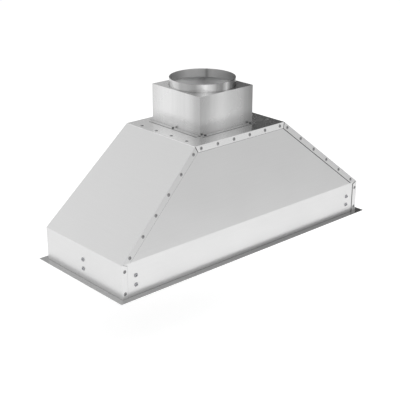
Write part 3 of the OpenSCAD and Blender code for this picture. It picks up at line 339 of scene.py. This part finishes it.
def flap_shadow_lines(tree, place):
    """The painted shadow lines along the hip flaps, the slanted tops of the upright flaps and the top
    flap.
    """
    hip_offset = half_w_mm - hip_flap_mm + hip_run * band_h_mm
    above_fold = beyond(tree, place, (0, 0, 1), band_h_mm, 0)
    slant_offset = notch_mm * (half_w_mm - notch_root_mm) - (flap_w_mm - notch_root_mm) * band_h_mm
    marks = [beyond(tree, place, (0, 0, 1), top_z_mm - top_flap_mm, top_shadow_mm)]
    for side in (1, -1):
        hip = beyond(tree, place, (side, 0, hip_run), hip_offset, hip_shadow_mm[side])
        upright = beyond(tree, place, (side, 0, 0), half_w_mm - flap_w_mm, upright_shadow_mm[side])
        slant = beyond(tree, place, (side * notch_mm, 0, notch_root_mm - flap_w_mm), slant_offset,
                       upright_shadow_mm[side])
        for shadow_line, stretch in ((hip, above_fold), (upright, slant)):
            marks.append(add_node(tree, "ShaderNodeMath", {"operation": "MINIMUM"},
                                  {0: shadow_line, 1: stretch}).outputs[0])
    return either(tree, marks)


long_brushed = brushed_stainless("brushed stainless steel, long panels", "#DCDCDC", "X", sheet_rough,
                                 darkened=flap_shadow_lines)
for panel in ("front_panel", "rear_panel"):
    dress(panel, long_brushed)


# Top plate. A flat sheet with a mitred flap down each long side, left brighter than the slopes,
# so that it mirrors the duct box. The mitre slits are drawn as dark lines of painted shade.
def mitre_slits(tree, place):
    """Painted shade in the slits at both ends of the top plate's flaps."""
    lean = mitre_mm / top_flap_mm
    offset = half_top_mm - lean * top_z_mm
    slit_mm = 1.8
    ends = either(tree, [beyond(tree, place, (side, 0, -lean), offset, slit_mm) for side in (1, -1)])
    plate_edge_mm = 1.2
    below = add_node(tree, "ShaderNodeSeparateXYZ", links={0: place.outputs["Object"]})
    on_flap = add_node(tree, "ShaderNodeMath",
                       {"operation": "LESS_THAN", 1: (top_z_mm - plate_edge_mm) * MM},
                       {0: below.outputs["Z"]})
    return add_node(tree, "ShaderNodeMath", {"operation": "MULTIPLY"},
                    {0: ends, 1: on_flap.outputs[0]}).outputs[0]


dress("top_plate", brushed_stainless("bright brushed stainless steel, top plate", "#F2F2F2", "X",
                                     roughness=0.23, depth=0.04, darkened=mitre_slits))


# Rivets. Stainless blind rivets with a domed head and the hollow that the broken pin leaves.
# The heads are given a darker grey than the sheet, and painted shade darkens the hollow.
def pressed_metal(name, code, roughness, grain_mm, hollow_mm):
    """Pressed or headed metal: painted shade in hollows, paler rims and a fine grain, drawn coarser
    than the real one, which wouldn't show."""
    material, tree = new_material(name)
    place = add_node(tree, "ShaderNodeTexCoord")
    grain = add_node(tree, "ShaderNodeTexNoise", {"Scale": 1 / (grain_mm * MM), "Detail": 3.0},
                     {"Vector": place.outputs["Object"]})
    # Painted shade: ambient occlusion darkens hollows and crevices within hollow_mm.
    hollow = add_node(tree, "ShaderNodeAmbientOcclusion", {"samples": 8, "Distance": hollow_mm * MM})
    depth = add_node(tree, "ShaderNodeMapRange", {"From Min": 0.3, "From Max": 0.9, "To Min": 0.06},
                     {"Value": hollow.outputs["AO"]})
    spread = 0.08
    darker, paler = shades(code, spread)
    face = add_node(tree, "ShaderNodeMix", {"data_type": "RGBA", 6: darker, 7: paler},
                    {"Factor": grain.outputs["Fac"]})
    shaded = add_node(tree, "ShaderNodeMix",
                      {"data_type": "RGBA", "blend_type": "MULTIPLY", "Factor": 1.0},
                      {6: face.outputs[2], 7: depth.outputs["Result"]})
    rim_mm = 0.3
    rim = add_node(tree, "ShaderNodeBevel", {"samples": 4, "Radius": rim_mm * MM})
    pit_mm = 0.02
    bump = add_node(tree, "ShaderNodeBump", {"Strength": 0.3, "Distance": pit_mm * MM},
                    {"Height": grain.outputs["Fac"], "Normal": rim.outputs["Normal"]})
    metal = add_node(tree, "ShaderNodeBsdfPrincipled", {"Metallic": 1.0, "Roughness": roughness},
                     {"Base Color": shaded.outputs[2], "Normal": bump.outputs["Normal"]})
    add_node(tree, "ShaderNodeOutputMaterial", links={"Surface": metal.outputs[0]})
    return material


rivet_steel = pressed_metal("pressed stainless steel, rivets", "#8E8E8F", roughness=0.3,
                            grain_mm=0.6, hollow_mm=2.5)
for rivets in ("front_seam_rivets", "rear_seam_rivets", "top_edge_rivets"):
    dress(rivets, rivet_steel)

# Bottom flange. A mitred angle frame of 1.2 mm stainless steel. Its flat leg covers the edge of
# the cabinet's cut-out. Its steel is given darker than the panels', and painted shade darkens it
# further towards the right end.
flange_reach_mm = 508


def set_stops(ramp, stops):
    """Sets a colour ramp's places and colours."""
    halfway = 0.5
    while len(ramp.elements) < len(stops):
        ramp.elements.new(halfway)
    for stop, (spot, code) in zip(ramp.elements, stops):
        stop.position = spot
        stop.color = linear(code)


def flange_painted_shade(tree, place):
    """Painted shade: the steel's tone darkens from the left end to the right."""
    spot = add_node(tree, "ShaderNodeSeparateXYZ", links={0: place.outputs["Object"]})
    along = add_node(tree, "ShaderNodeMapRange",
                     {"From Min": -flange_reach_mm * MM, "From Max": flange_reach_mm * MM},
                     {"Value": spot.outputs["X"]})
    tones = add_node(tree, "ShaderNodeValToRGB", links={"Fac": along.outputs["Result"]})
    set_stops(tones.color_ramp,
              [(0.0, "#FFFFFF"), (0.3, "#EEEEEE"), (0.55, "#DCDCDC"), (1.0, "#CFCFCF")])
    return tones.outputs["Color"]


dress("bottom_flange", brushed_stainless("darker brushed stainless steel with painted shade, flange", "#C3C3C3", "X",
                                         roughness=0.28, depth=0.05, banded=flange_painted_shade))

# Band screws. Zinc-plated pan heads with a cross slot, in pairs on each side, and square nuts.
# The plating is a little darker and bluer than the stainless steel round it.
screw_zinc = pressed_metal("zinc plated steel, screws", "#A4A5A8", roughness=0.27,
                           grain_mm=0.8, hollow_mm=2.5)
dress("band_screws", screw_zinc)

# Duct box. One folded sheet with a spot-welded foot all round, brushed upright after welding.
# Wide soft light and dark bands down its sides are painted sheen and shade.
box_streak_mm = 7
box_reach_mm = 400
box_half_mm = 107
box_y_mm = 40
box_foot_mm = 15


def round_the_box(tree, place):
    """Painted sheen and shade: broad soft light and dark bands round the upright sides, and painted
    shade at their foot.
    """
    turn = add_node(tree, "ShaderNodeVectorMath", {"operation": "DOT_PRODUCT", 1: (1, -1, 0)},
                    {0: place.outputs["Object"]})
    first_mm = -box_half_mm - (box_y_mm + box_half_mm)
    last_mm = box_half_mm - (box_y_mm - box_half_mm)
    along = add_node(tree, "ShaderNodeMapRange", {"From Min": first_mm * MM, "From Max": last_mm * MM},
                     {"Value": turn.outputs["Value"]})
    # Painted sheen and shade, in bands by the place round the box.
    bands = add_node(tree, "ShaderNodeValToRGB", links={"Fac": along.outputs["Result"]})
    ramp = bands.color_ramp
    ramp.interpolation = "EASE"
    set_stops(ramp, [(0.0, "#EBEBEB"), (0.14, "#FAFAFA"), (0.36, "#EBEBEB"), (0.49, "#C8C8C8"),
                     (0.51, "#CACACA"), (0.7, "#F8F8F8"), (0.82, "#E4E4E4"), (1.0, "#ACACAC")])
    # Painted shade: the sides darken towards their foot on the top plate.
    height = add_node(tree, "ShaderNodeSeparateXYZ", links={0: place.outputs["Object"]})
    foot_shade_mm = 45
    foot_shade_share = 0.8
    foot = add_node(tree, "ShaderNodeMapRange",
                    {"From Min": top_z_mm * MM, "From Max": (top_z_mm + foot_shade_mm) * MM,
                     "To Min": foot_shade_share},
                    {"Value": height.outputs["Z"]})
    shaded = add_node(tree, "ShaderNodeMix",
                      {"data_type": "RGBA", "blend_type": "MULTIPLY", "Factor": 1.0},
                      {6: bands.outputs["Color"], 7: foot.outputs["Result"]})
    level_share = 0.5
    facing = add_node(tree, "ShaderNodeSeparateXYZ", links={0: place.outputs["Normal"]})
    steep = add_node(tree, "ShaderNodeMath", {"operation": "ABSOLUTE"}, {0: facing.outputs["Z"]})
    lying = add_node(tree, "ShaderNodeMath", {"operation": "GREATER_THAN", 1: level_share},
                     {0: steep.outputs[0]})
    sides = add_node(tree, "ShaderNodeMix", {"data_type": "RGBA", 7: linear("#FFFFFF")},
                     {"Factor": lying.outputs[0], 6: shaded.outputs[2]})
    return sides.outputs[2]


def foot_edges(tree, place):
    """A dark line along the foot's outer edges: the sheared edge with the painted shade of its step,
    drawn wider than the sheet is thick so that it shows.
    """
    reach_mm = box_half_mm + box_foot_mm
    edge_mm = 1.8
    shade_share = 0.36
    marks = []
    for side in (1, -1):
        marks.append(beyond(tree, place, (side, 0, 0), reach_mm, edge_mm))
        marks.append(beyond(tree, place, (0, side, 0), reach_mm + side * box_y_mm, edge_mm))
    return add_node(tree, "ShaderNodeMath", {"operation": "MULTIPLY", 1: shade_share},
                    {0: either(tree, marks)}).outputs[0]


def mill_finish(code):
    """The grey of a side that was never brushed, with the faint clouds that rolling leaves."""
    cloud_mm = 45
    spread = 0.06
    darker, paler = shades(code, spread)

    def tone(tree, place):
        cloud = add_node(tree, "ShaderNodeTexNoise", {"Scale": 1 / (cloud_mm * MM), "Detail": 3.0},
                         {"Vector": place.outputs["Object"]})
        return add_node(tree, "ShaderNodeMix", {"data_type": "RGBA", 6: darker, 7: paler},
                        {"Factor": cloud.outputs["Fac"]}).outputs[2]
    return tone


def inside_of(centre_mm):
    """Marks the faces that look in towards an upright axis."""
    centre = [c * MM for c in centre_mm]
    inwards_mm = 10

    def mark(tree, place):
        arm = add_node(tree, "ShaderNodeVectorMath", {"operation": "SUBTRACT", 1: centre},
                       {0: place.outputs["Object"]})
        level = add_node(tree, "ShaderNodeVectorMath", {"operation": "MULTIPLY", 1: (1, 1, 0)},
                         {0: arm.outputs["Vector"]})
        turned = add_node(tree, "ShaderNodeVectorMath", {"operation": "DOT_PRODUCT"},
                          {0: level.outputs["Vector"], 1: place.outputs["Normal"]})
        return add_node(tree, "ShaderNodeMath", {"operation": "LESS_THAN", 1: -inwards_mm * MM},
                        {0: turned.outputs["Value"]}).outputs[0]
    return mark


dress("duct_box", brushed_stainless("brushed stainless steel, duct box", "#E8E8E8", "Z", roughness=0.27,
                                    line_mm=box_streak_mm, reach_mm=box_reach_mm, depth=0.03,
                                    darkened=foot_edges, banded=round_the_box,
                                    dull=(mill_finish("#F2F2F2"), inside_of((0, box_y_mm, 0)))))

# Duct box screws. Self-drilling screws in a black phosphate finish, one near each corner of the
# long feet and one in each side foot. They read as the darkest dots on the hood.
dress("duct_box_screws", pressed_metal("black phosphated steel, foot screws", "#4A4A4C",
                                       roughness=0.35, grain_mm=0.8, hollow_mm=2.5))

# Duct collar. A rolled and seam-welded ring, beaded under the box's top. Bright and dark upright
# streaks are painted round it, outside as painted highlights and shade, inside as painted shade.
collar_streak_mm = 13
collar_reach_mm = 400


def round_the_collar(stops):
    """Painted highlights and shade: bright and dark streaks by their angle round the ring."""
    def tone(tree, place):
        arm = add_node(tree, "ShaderNodeVectorMath",
                       {"operation": "SUBTRACT", 1: (0, box_y_mm * MM, 0)},
                       {0: place.outputs["Object"]})
        arms = add_node(tree, "ShaderNodeSeparateXYZ", links={0: arm.outputs["Vector"]})
        angle = add_node(tree, "ShaderNodeMath", {"operation": "ARCTAN2"},
                         {0: arms.outputs["Y"], 1: arms.outputs["X"]})
        turn = add_node(tree, "ShaderNodeMapRange", {"From Min": -math.pi, "From Max": math.pi},
                        {"Value": angle.outputs[0]})
        streaks = add_node(tree, "ShaderNodeValToRGB", links={"Fac": turn.outputs["Result"]})
        set_stops(streaks.color_ramp, stops)
        return streaks.outputs["Color"]
    return tone


# Outside, painted highlights and shade stand in for what the ring reflects.
outer_painted_sheen = round_the_collar([
    (0.0, "#D8D8D8"), (0.02, "#C0C0C0"), (0.1, "#A2A2A2"), (0.145, "#F0F0F0"), (0.2, "#B4B4B4"),
    (0.23, "#A8A8A8"), (0.258, "#F0F0F0"), (0.285, "#909090"), (0.33, "#484848"), (0.4, "#B4B4B4"),
    (0.6, "#C8C8C8"), (0.75, "#B0B0B0"), (0.88, "#CCCCCC"), (0.97, "#E2E2E2"), (1.0, "#D8D8D8")])
# Inside, painted shade darkens the ring towards the front right and the back left, with a narrow dark
# upright line at the back right.
inner_painted_shade = round_the_collar([
    (0.0, "#B4B4B4"), (0.2, "#AAAAAA"), (0.38, "#808080"), (0.45, "#969696"), (0.51, "#B4B4B4"),
    (0.58, "#C8C8C8"), (0.6, "#BCBCBC"), (0.612, "#8E8E8E"), (0.624, "#C2C2C2"), (0.66, "#CCCCCC"),
    (0.71, "#CCCCCC"), (0.77, "#A2A2A2"), (0.83, "#8E8E8E"), (0.9, "#808080"), (1.0, "#B4B4B4")])
dress("duct_collar", brushed_stainless("rolled stainless steel, collar", "#E8E8E8", "Z", roughness=0.2,
                                       line_mm=collar_streak_mm, reach_mm=collar_reach_mm,
                                       depth=0.06, banded=outer_painted_sheen,
                                       dull=(inner_painted_shade, inside_of((0, box_y_mm, 0)))))


# Damper. The frame and its two flaps are galvanised steel, with the spangle of zinc crystals
# that freeze on the sheet: flat cells of slightly different grey and gloss.
def galvanised(name, code, spangle_mm, roughness=0.38):
    """Hot-dip galvanised steel with its spangle."""
    material, tree = new_material(name)
    place = add_node(tree, "ShaderNodeTexCoord")
    wander = add_node(tree, "ShaderNodeTexNoise", {"Scale": 1 / (spangle_mm * MM), "Detail": 2.0},
                      {"Vector": place.outputs["Object"]})
    ragged_mm = 2.5
    pushed = add_node(tree, "ShaderNodeVectorMath",
                      {"operation": "MULTIPLY_ADD", 1: [ragged_mm * MM] * 3},
                      {0: wander.outputs["Color"], 2: place.outputs["Object"]})
    cells = add_node(tree, "ShaderNodeTexVoronoi", {"Scale": 1 / (spangle_mm * MM)},
                     {"Vector": pushed.outputs["Vector"]})
    grey = add_node(tree, "ShaderNodeSeparateColor", links={0: cells.outputs["Color"]})
    spread = 0.16
    darker, paler = shades(code, spread)
    face = add_node(tree, "ShaderNodeMix", {"data_type": "RGBA", 6: darker, 7: paler},
                    {"Factor": grey.outputs["Red"]})
    swing = 0.12
    rough = add_node(tree, "ShaderNodeMapRange",
                     {"To Min": roughness - swing, "To Max": roughness + swing},
                     {"Value": grey.outputs["Green"]})
    crystal_mm = 0.03
    bump = add_node(tree, "ShaderNodeBump", {"Strength": 0.25, "Distance": crystal_mm * MM},
                    {"Height": grey.outputs["Blue"]})
    zinc = add_node(tree, "ShaderNodeBsdfPrincipled", {"Metallic": 1.0},
                    {"Base Color": face.outputs[2], "Roughness": rough.outputs["Result"],
                     "Normal": bump.outputs["Normal"]})
    add_node(tree, "ShaderNodeOutputMaterial", links={"Surface": zinc.outputs[0]})
    return material


duct_zinc = galvanised("galvanised steel, damper", "#B9BBBC", spangle_mm=9)
for sheet in ("damper_frame", "left_damper_flap", "right_damper_flap"):
    dress(sheet, duct_zinc)
pin_steel = pressed_metal("ground steel, pins and shaft", "#B4B4B6", roughness=0.18,
                          grain_mm=0.4, hollow_mm=2)
dress("damper_pins", pin_steel)

# Blower housing. The scroll is wrapped from galvanised sheet and closed by two side plates, each
# with a spun inlet ring. The sheet has a larger spangle than the damper's.
blower_zinc = galvanised("galvanised steel, blower", "#B3B5B7", spangle_mm=14)
for sheet in ("blower_scroll", "blower_left_plate", "blower_right_plate", "inlet_rings"):
    dress(sheet, blower_zinc)
dress("blower_screws", screw_zinc)

# Blower wheel. Forward-curved blades of thin galvanised strip between a disc and two end rings,
# on a diecast hub. The strip is finely spangled and a little brighter than the housing.
dress("blower_wheel", galvanised("galvanised strip, wheel", "#C2C4C5", spangle_mm=5, roughness=0.32))
dress("motor_shaft", pin_steel)


def cast_metal(name, code, roughness, grain_mm, lump_mm):
    """Diecast metal: a matt skin with shallow flow marks and a fine pebble grain, drawn coarser
    than the real one, which wouldn't show."""
    material, tree = new_material(name)
    place = add_node(tree, "ShaderNodeTexCoord")
    grain = add_node(tree, "ShaderNodeTexNoise", {"Scale": 1 / (grain_mm * MM), "Detail": 4.0},
                     {"Vector": place.outputs["Object"]})
    flow = add_node(tree, "ShaderNodeTexNoise",
                    {"Scale": 1 / (lump_mm * MM), "Detail": 2.0, "Distortion": 1.2},
                    {"Vector": place.outputs["Object"]})
    spread = 0.12
    darker, paler = shades(code, spread)
    face = add_node(tree, "ShaderNodeMix", {"data_type": "RGBA", 6: darker, 7: paler},
                    {"Factor": flow.outputs["Fac"]})
    edge_mm = 0.5
    edge = add_node(tree, "ShaderNodeBevel", {"samples": 4, "Radius": edge_mm * MM})
    pebble_mm = 0.06
    bump = add_node(tree, "ShaderNodeBump", {"Strength": 0.5, "Distance": pebble_mm * MM},
                    {"Height": grain.outputs["Fac"], "Normal": edge.outputs["Normal"]})
    metal = add_node(tree, "ShaderNodeBsdfPrincipled", {"Metallic": 1.0, "Roughness": roughness},
                     {"Base Color": face.outputs[2], "Normal": bump.outputs["Normal"]})
    add_node(tree, "ShaderNodeOutputMaterial", links={"Surface": metal.outputs[0]})
    return material


dress("wheel_hub", cast_metal("diecast zinc, hub", "#A3A4A5", roughness=0.45, grain_mm=0.7, lump_mm=12))


# Motor. A steel can between two end caps, dipped in black enamel: a deep black with a soft gloss
# and a slight orange peel. It hangs in a galvanised clamp on three rubber grommets.
def enamel(name, code, peel_mm):
    """Stoved enamel over steel, with its orange peel, faint dust and rounded edges."""
    material, tree = new_material(name)
    place = add_node(tree, "ShaderNodeTexCoord")
    peel = add_node(tree, "ShaderNodeTexNoise", {"Scale": 1 / (peel_mm * MM), "Detail": 1.0},
                    {"Vector": place.outputs["Object"]})
    dust_mm = 30
    dust = add_node(tree, "ShaderNodeTexNoise", {"Scale": 1 / (dust_mm * MM), "Detail": 4.0},
                    {"Vector": place.outputs["Object"]})
    face = add_node(tree, "ShaderNodeMix",
                    {"data_type": "RGBA", 6: linear(code), 7: linear("#3A3937")},
                    {"Factor": dust.outputs["Fac"]})
    glossy, dusty = 0.25, 0.5
    rough = add_node(tree, "ShaderNodeMapRange", {"To Min": glossy, "To Max": dusty},
                     {"Value": dust.outputs["Fac"]})
    edge_mm = 0.6
    edge = add_node(tree, "ShaderNodeBevel", {"samples": 4, "Radius": edge_mm * MM})
    skin_mm = 0.03
    bump = add_node(tree, "ShaderNodeBump", {"Strength": 0.4, "Distance": skin_mm * MM},
                    {"Height": peel.outputs["Fac"], "Normal": edge.outputs["Normal"]})
    paint = add_node(tree, "ShaderNodeBsdfPrincipled", {"IOR": 1.52},
                     {"Base Color": face.outputs[2], "Roughness": rough.outputs["Result"],
                      "Normal": bump.outputs["Normal"]})
    add_node(tree, "ShaderNodeOutputMaterial", links={"Surface": paint.outputs[0]})
    return material


dress("motor_body", enamel("stoved black enamel, motor", "#1B1B1C", peel_mm=1.5))
dress("motor_bracket", blower_zinc)
dress("motor_bolts", screw_zinc)


def moulded(name, code, grain_mm, roughness, depth_mm, ior=1.53):
    """Moulded plastic or rubber: an even colour with the mould's fine texture, drawn coarser than
    the real one, which wouldn't show."""
    material, tree = new_material(name)
    place = add_node(tree, "ShaderNodeTexCoord")
    grain = add_node(tree, "ShaderNodeTexNoise", {"Scale": 1 / (grain_mm * MM), "Detail": 3.0},
                     {"Vector": place.outputs["Object"]})
    bloom_mm = 18
    bloom = add_node(tree, "ShaderNodeTexNoise", {"Scale": 1 / (bloom_mm * MM), "Detail": 2.0},
                     {"Vector": place.outputs["Object"]})
    spread = 0.1
    darker, paler = shades(code, spread)
    face = add_node(tree, "ShaderNodeMix", {"data_type": "RGBA", 6: darker, 7: paler},
                    {"Factor": bloom.outputs["Fac"]})
    swing = 0.06
    rough = add_node(tree, "ShaderNodeMapRange",
                     {"To Min": roughness - swing, "To Max": roughness + swing},
                     {"Value": bloom.outputs["Fac"]})
    edge_mm = 0.5
    edge = add_node(tree, "ShaderNodeBevel", {"samples": 4, "Radius": edge_mm * MM})
    bump = add_node(tree, "ShaderNodeBump", {"Strength": 0.5, "Distance": depth_mm * MM},
                    {"Height": grain.outputs["Fac"], "Normal": edge.outputs["Normal"]})
    plastic = add_node(tree, "ShaderNodeBsdfPrincipled", {"IOR": ior},
                       {"Base Color": face.outputs[2], "Roughness": rough.outputs["Result"],
                        "Normal": bump.outputs["Normal"]})
    add_node(tree, "ShaderNodeOutputMaterial", links={"Surface": plastic.outputs[0]})
    return material


dress("motor_grommets", moulded("moulded nitrile rubber, grommets", "#1D1D1D", grain_mm=0.5,
                                roughness=0.75, depth_mm=0.04, ior=1.52))

# Wiring box. A small galvanised box on the rear panel with a lift-off cover. It holds the motor's
# run capacitor and the lamp driver, both in white cases, and a black snap bushing for the cable.
wire_zinc = galvanised("galvanised steel, wiring box", "#B8BABB", spangle_mm=11)
for sheet in ("wiring_box", "wiring_box_cover"):
    dress(sheet, wire_zinc)
dress("run_capacitor", moulded("moulded polypropylene, capacitor", "#E4E3DE", grain_mm=0.8,
                               roughness=0.35, depth_mm=0.02, ior=1.49))
dress("light_driver", moulded("moulded ABS, lamp driver", "#DEDDD7", grain_mm=0.5, roughness=0.45,
                              depth_mm=0.03))
dress("conduit_bushing", moulded("moulded nylon, bushing", "#19191A", grain_mm=0.6, roughness=0.4,
                                 depth_mm=0.03))

# Underside deck. Four folded strips, brushed along the hood, that butt round the filter opening
# with a turned-up rim. They are the face that the cook sees from below.
dress("underside_deck", brushed_stainless("brushed stainless steel, deck", "#D6D6D6", "X",
                                          roughness=0.28, depth=0.04))

# Baffle filters. Each has a channel frame and two rows of folded baffles in ferritic stainless
# steel, brushed along the baffles. Bright drawn wire makes the bails, and blue-grey spring steel
# the catches on the front rim.
baffle_steel = brushed_stainless("brushed stainless steel, baffles", "#CFCFCF", "Y",
                                 roughness=0.24, depth=0.05)
frame_steel = brushed_stainless("brushed stainless steel, filter frames", "#C9C9C9", "X",
                                roughness=0.27, depth=0.05)
bail_wire = pressed_metal("drawn stainless wire, bails", "#CECECE", roughness=0.14,
                          grain_mm=0.4, hollow_mm=2)
catch_steel = pressed_metal("blued spring steel, catches and clips", "#7C7F85", roughness=0.3,
                            grain_mm=0.5, hollow_mm=2)
for side in ("left", "centre", "right"):
    dress(side + "_filter_frame", frame_steel)
    dress(side + "_filter_baffles", baffle_steel)
    dress(side + "_filter_handle", bail_wire)
    dress(side + "_filter_catches", catch_steel)

# Controls. Five turned stainless caps stand through a brushed plate. A black moulded box behind
# it holds a green glass-epoxy board with a switch over each cap.
dress("control_plate", brushed_stainless("brushed stainless steel, control plate", "#CDCDCD", "X",
                                         roughness=0.24, depth=0.05))
cap_steel = pressed_metal("turned stainless steel, button caps", "#D2D2D2", roughness=0.2,
                          grain_mm=0.5, hollow_mm=1.5)
for button in ("light", "fan_off", "fan_low", "fan_medium", "fan_high"):
    dress(button + "_button", cap_steel)
dress("control_box", moulded("moulded ABS, control box", "#1F1F20", grain_mm=0.6, roughness=0.5,
                             depth_mm=0.04))


def circuit_board(name):
    """Glass-epoxy laminate under green solder mask, with paler tracks and a faint weave."""
    material, tree = new_material(name)
    place = add_node(tree, "ShaderNodeTexCoord")
    track_mm = 4
    tracks = add_node(tree, "ShaderNodeTexBrick",
                      {"Scale": 1 / (track_mm * MM), "Mortar Size": 0.12, "Color1": linear("#1E5A34"),
                       "Color2": linear("#235F3A"), "Mortar": linear("#4C8A58")},
                      {"Vector": place.outputs["Object"]})
    weave_mm = 0.6
    weave = add_node(tree, "ShaderNodeTexNoise", {"Scale": 1 / (weave_mm * MM)},
                     {"Vector": place.outputs["Object"]})
    cloth_mm = 0.03
    bump = add_node(tree, "ShaderNodeBump", {"Strength": 0.4, "Distance": cloth_mm * MM},
                    {"Height": weave.outputs["Fac"]})
    mask = add_node(tree, "ShaderNodeBsdfPrincipled", {"Roughness": 0.35, "IOR": 1.54},
                    {"Base Color": tracks.outputs["Color"], "Normal": bump.outputs["Normal"]})
    add_node(tree, "ShaderNodeOutputMaterial", links={"Surface": mask.outputs[0]})
    return material


dress("control_board", circuit_board("glass-epoxy laminate, board"))

# Lamps. A spun stainless bezel holds a frosted polycarbonate lens below a finned cup of cast
# aluminium, and two spring clips pull it down on the deck.
dress("light_bezels", brushed_stainless("spun stainless steel, bezels", "#D3D3D3", "X",
                                        roughness=0.2, line_mm=1, reach_mm=40, depth=0.05))


def frosted_lens(name, prism_mm):
    """Polycarbonate with an etched back of small prisms, milky and slightly warm."""
    material, tree = new_material(name)
    place = add_node(tree, "ShaderNodeTexCoord")
    prisms = add_node(tree, "ShaderNodeTexVoronoi", {"Scale": 1 / (prism_mm * MM)},
                      {"Vector": place.outputs["Object"]})
    tint = add_node(tree, "ShaderNodeMix",
                    {"data_type": "RGBA", 6: linear("#F4F1E6"), 7: linear("#E3DFD0")},
                    {"Factor": prisms.outputs["Distance"]})
    facet_mm = 0.25
    bump = add_node(tree, "ShaderNodeBump", {"Strength": 0.5, "Distance": facet_mm * MM},
                    {"Height": prisms.outputs["Distance"]})
    lens = add_node(tree, "ShaderNodeBsdfPrincipled",
                    {"Roughness": 0.3, "IOR": 1.58, "Transmission Weight": 0.35},
                    {"Base Color": tint.outputs[2], "Normal": bump.outputs["Normal"]})
    add_node(tree, "ShaderNodeOutputMaterial", links={"Surface": lens.outputs[0]})
    return material


dress("light_lenses", frosted_lens("frosted polycarbonate, lenses", prism_mm=3))
dress("light_housings", cast_metal("cast aluminium, lamp cups", "#B2B3B3", roughness=0.5,
                                   grain_mm=0.8, lump_mm=18))
dress("light_clips", catch_steel)
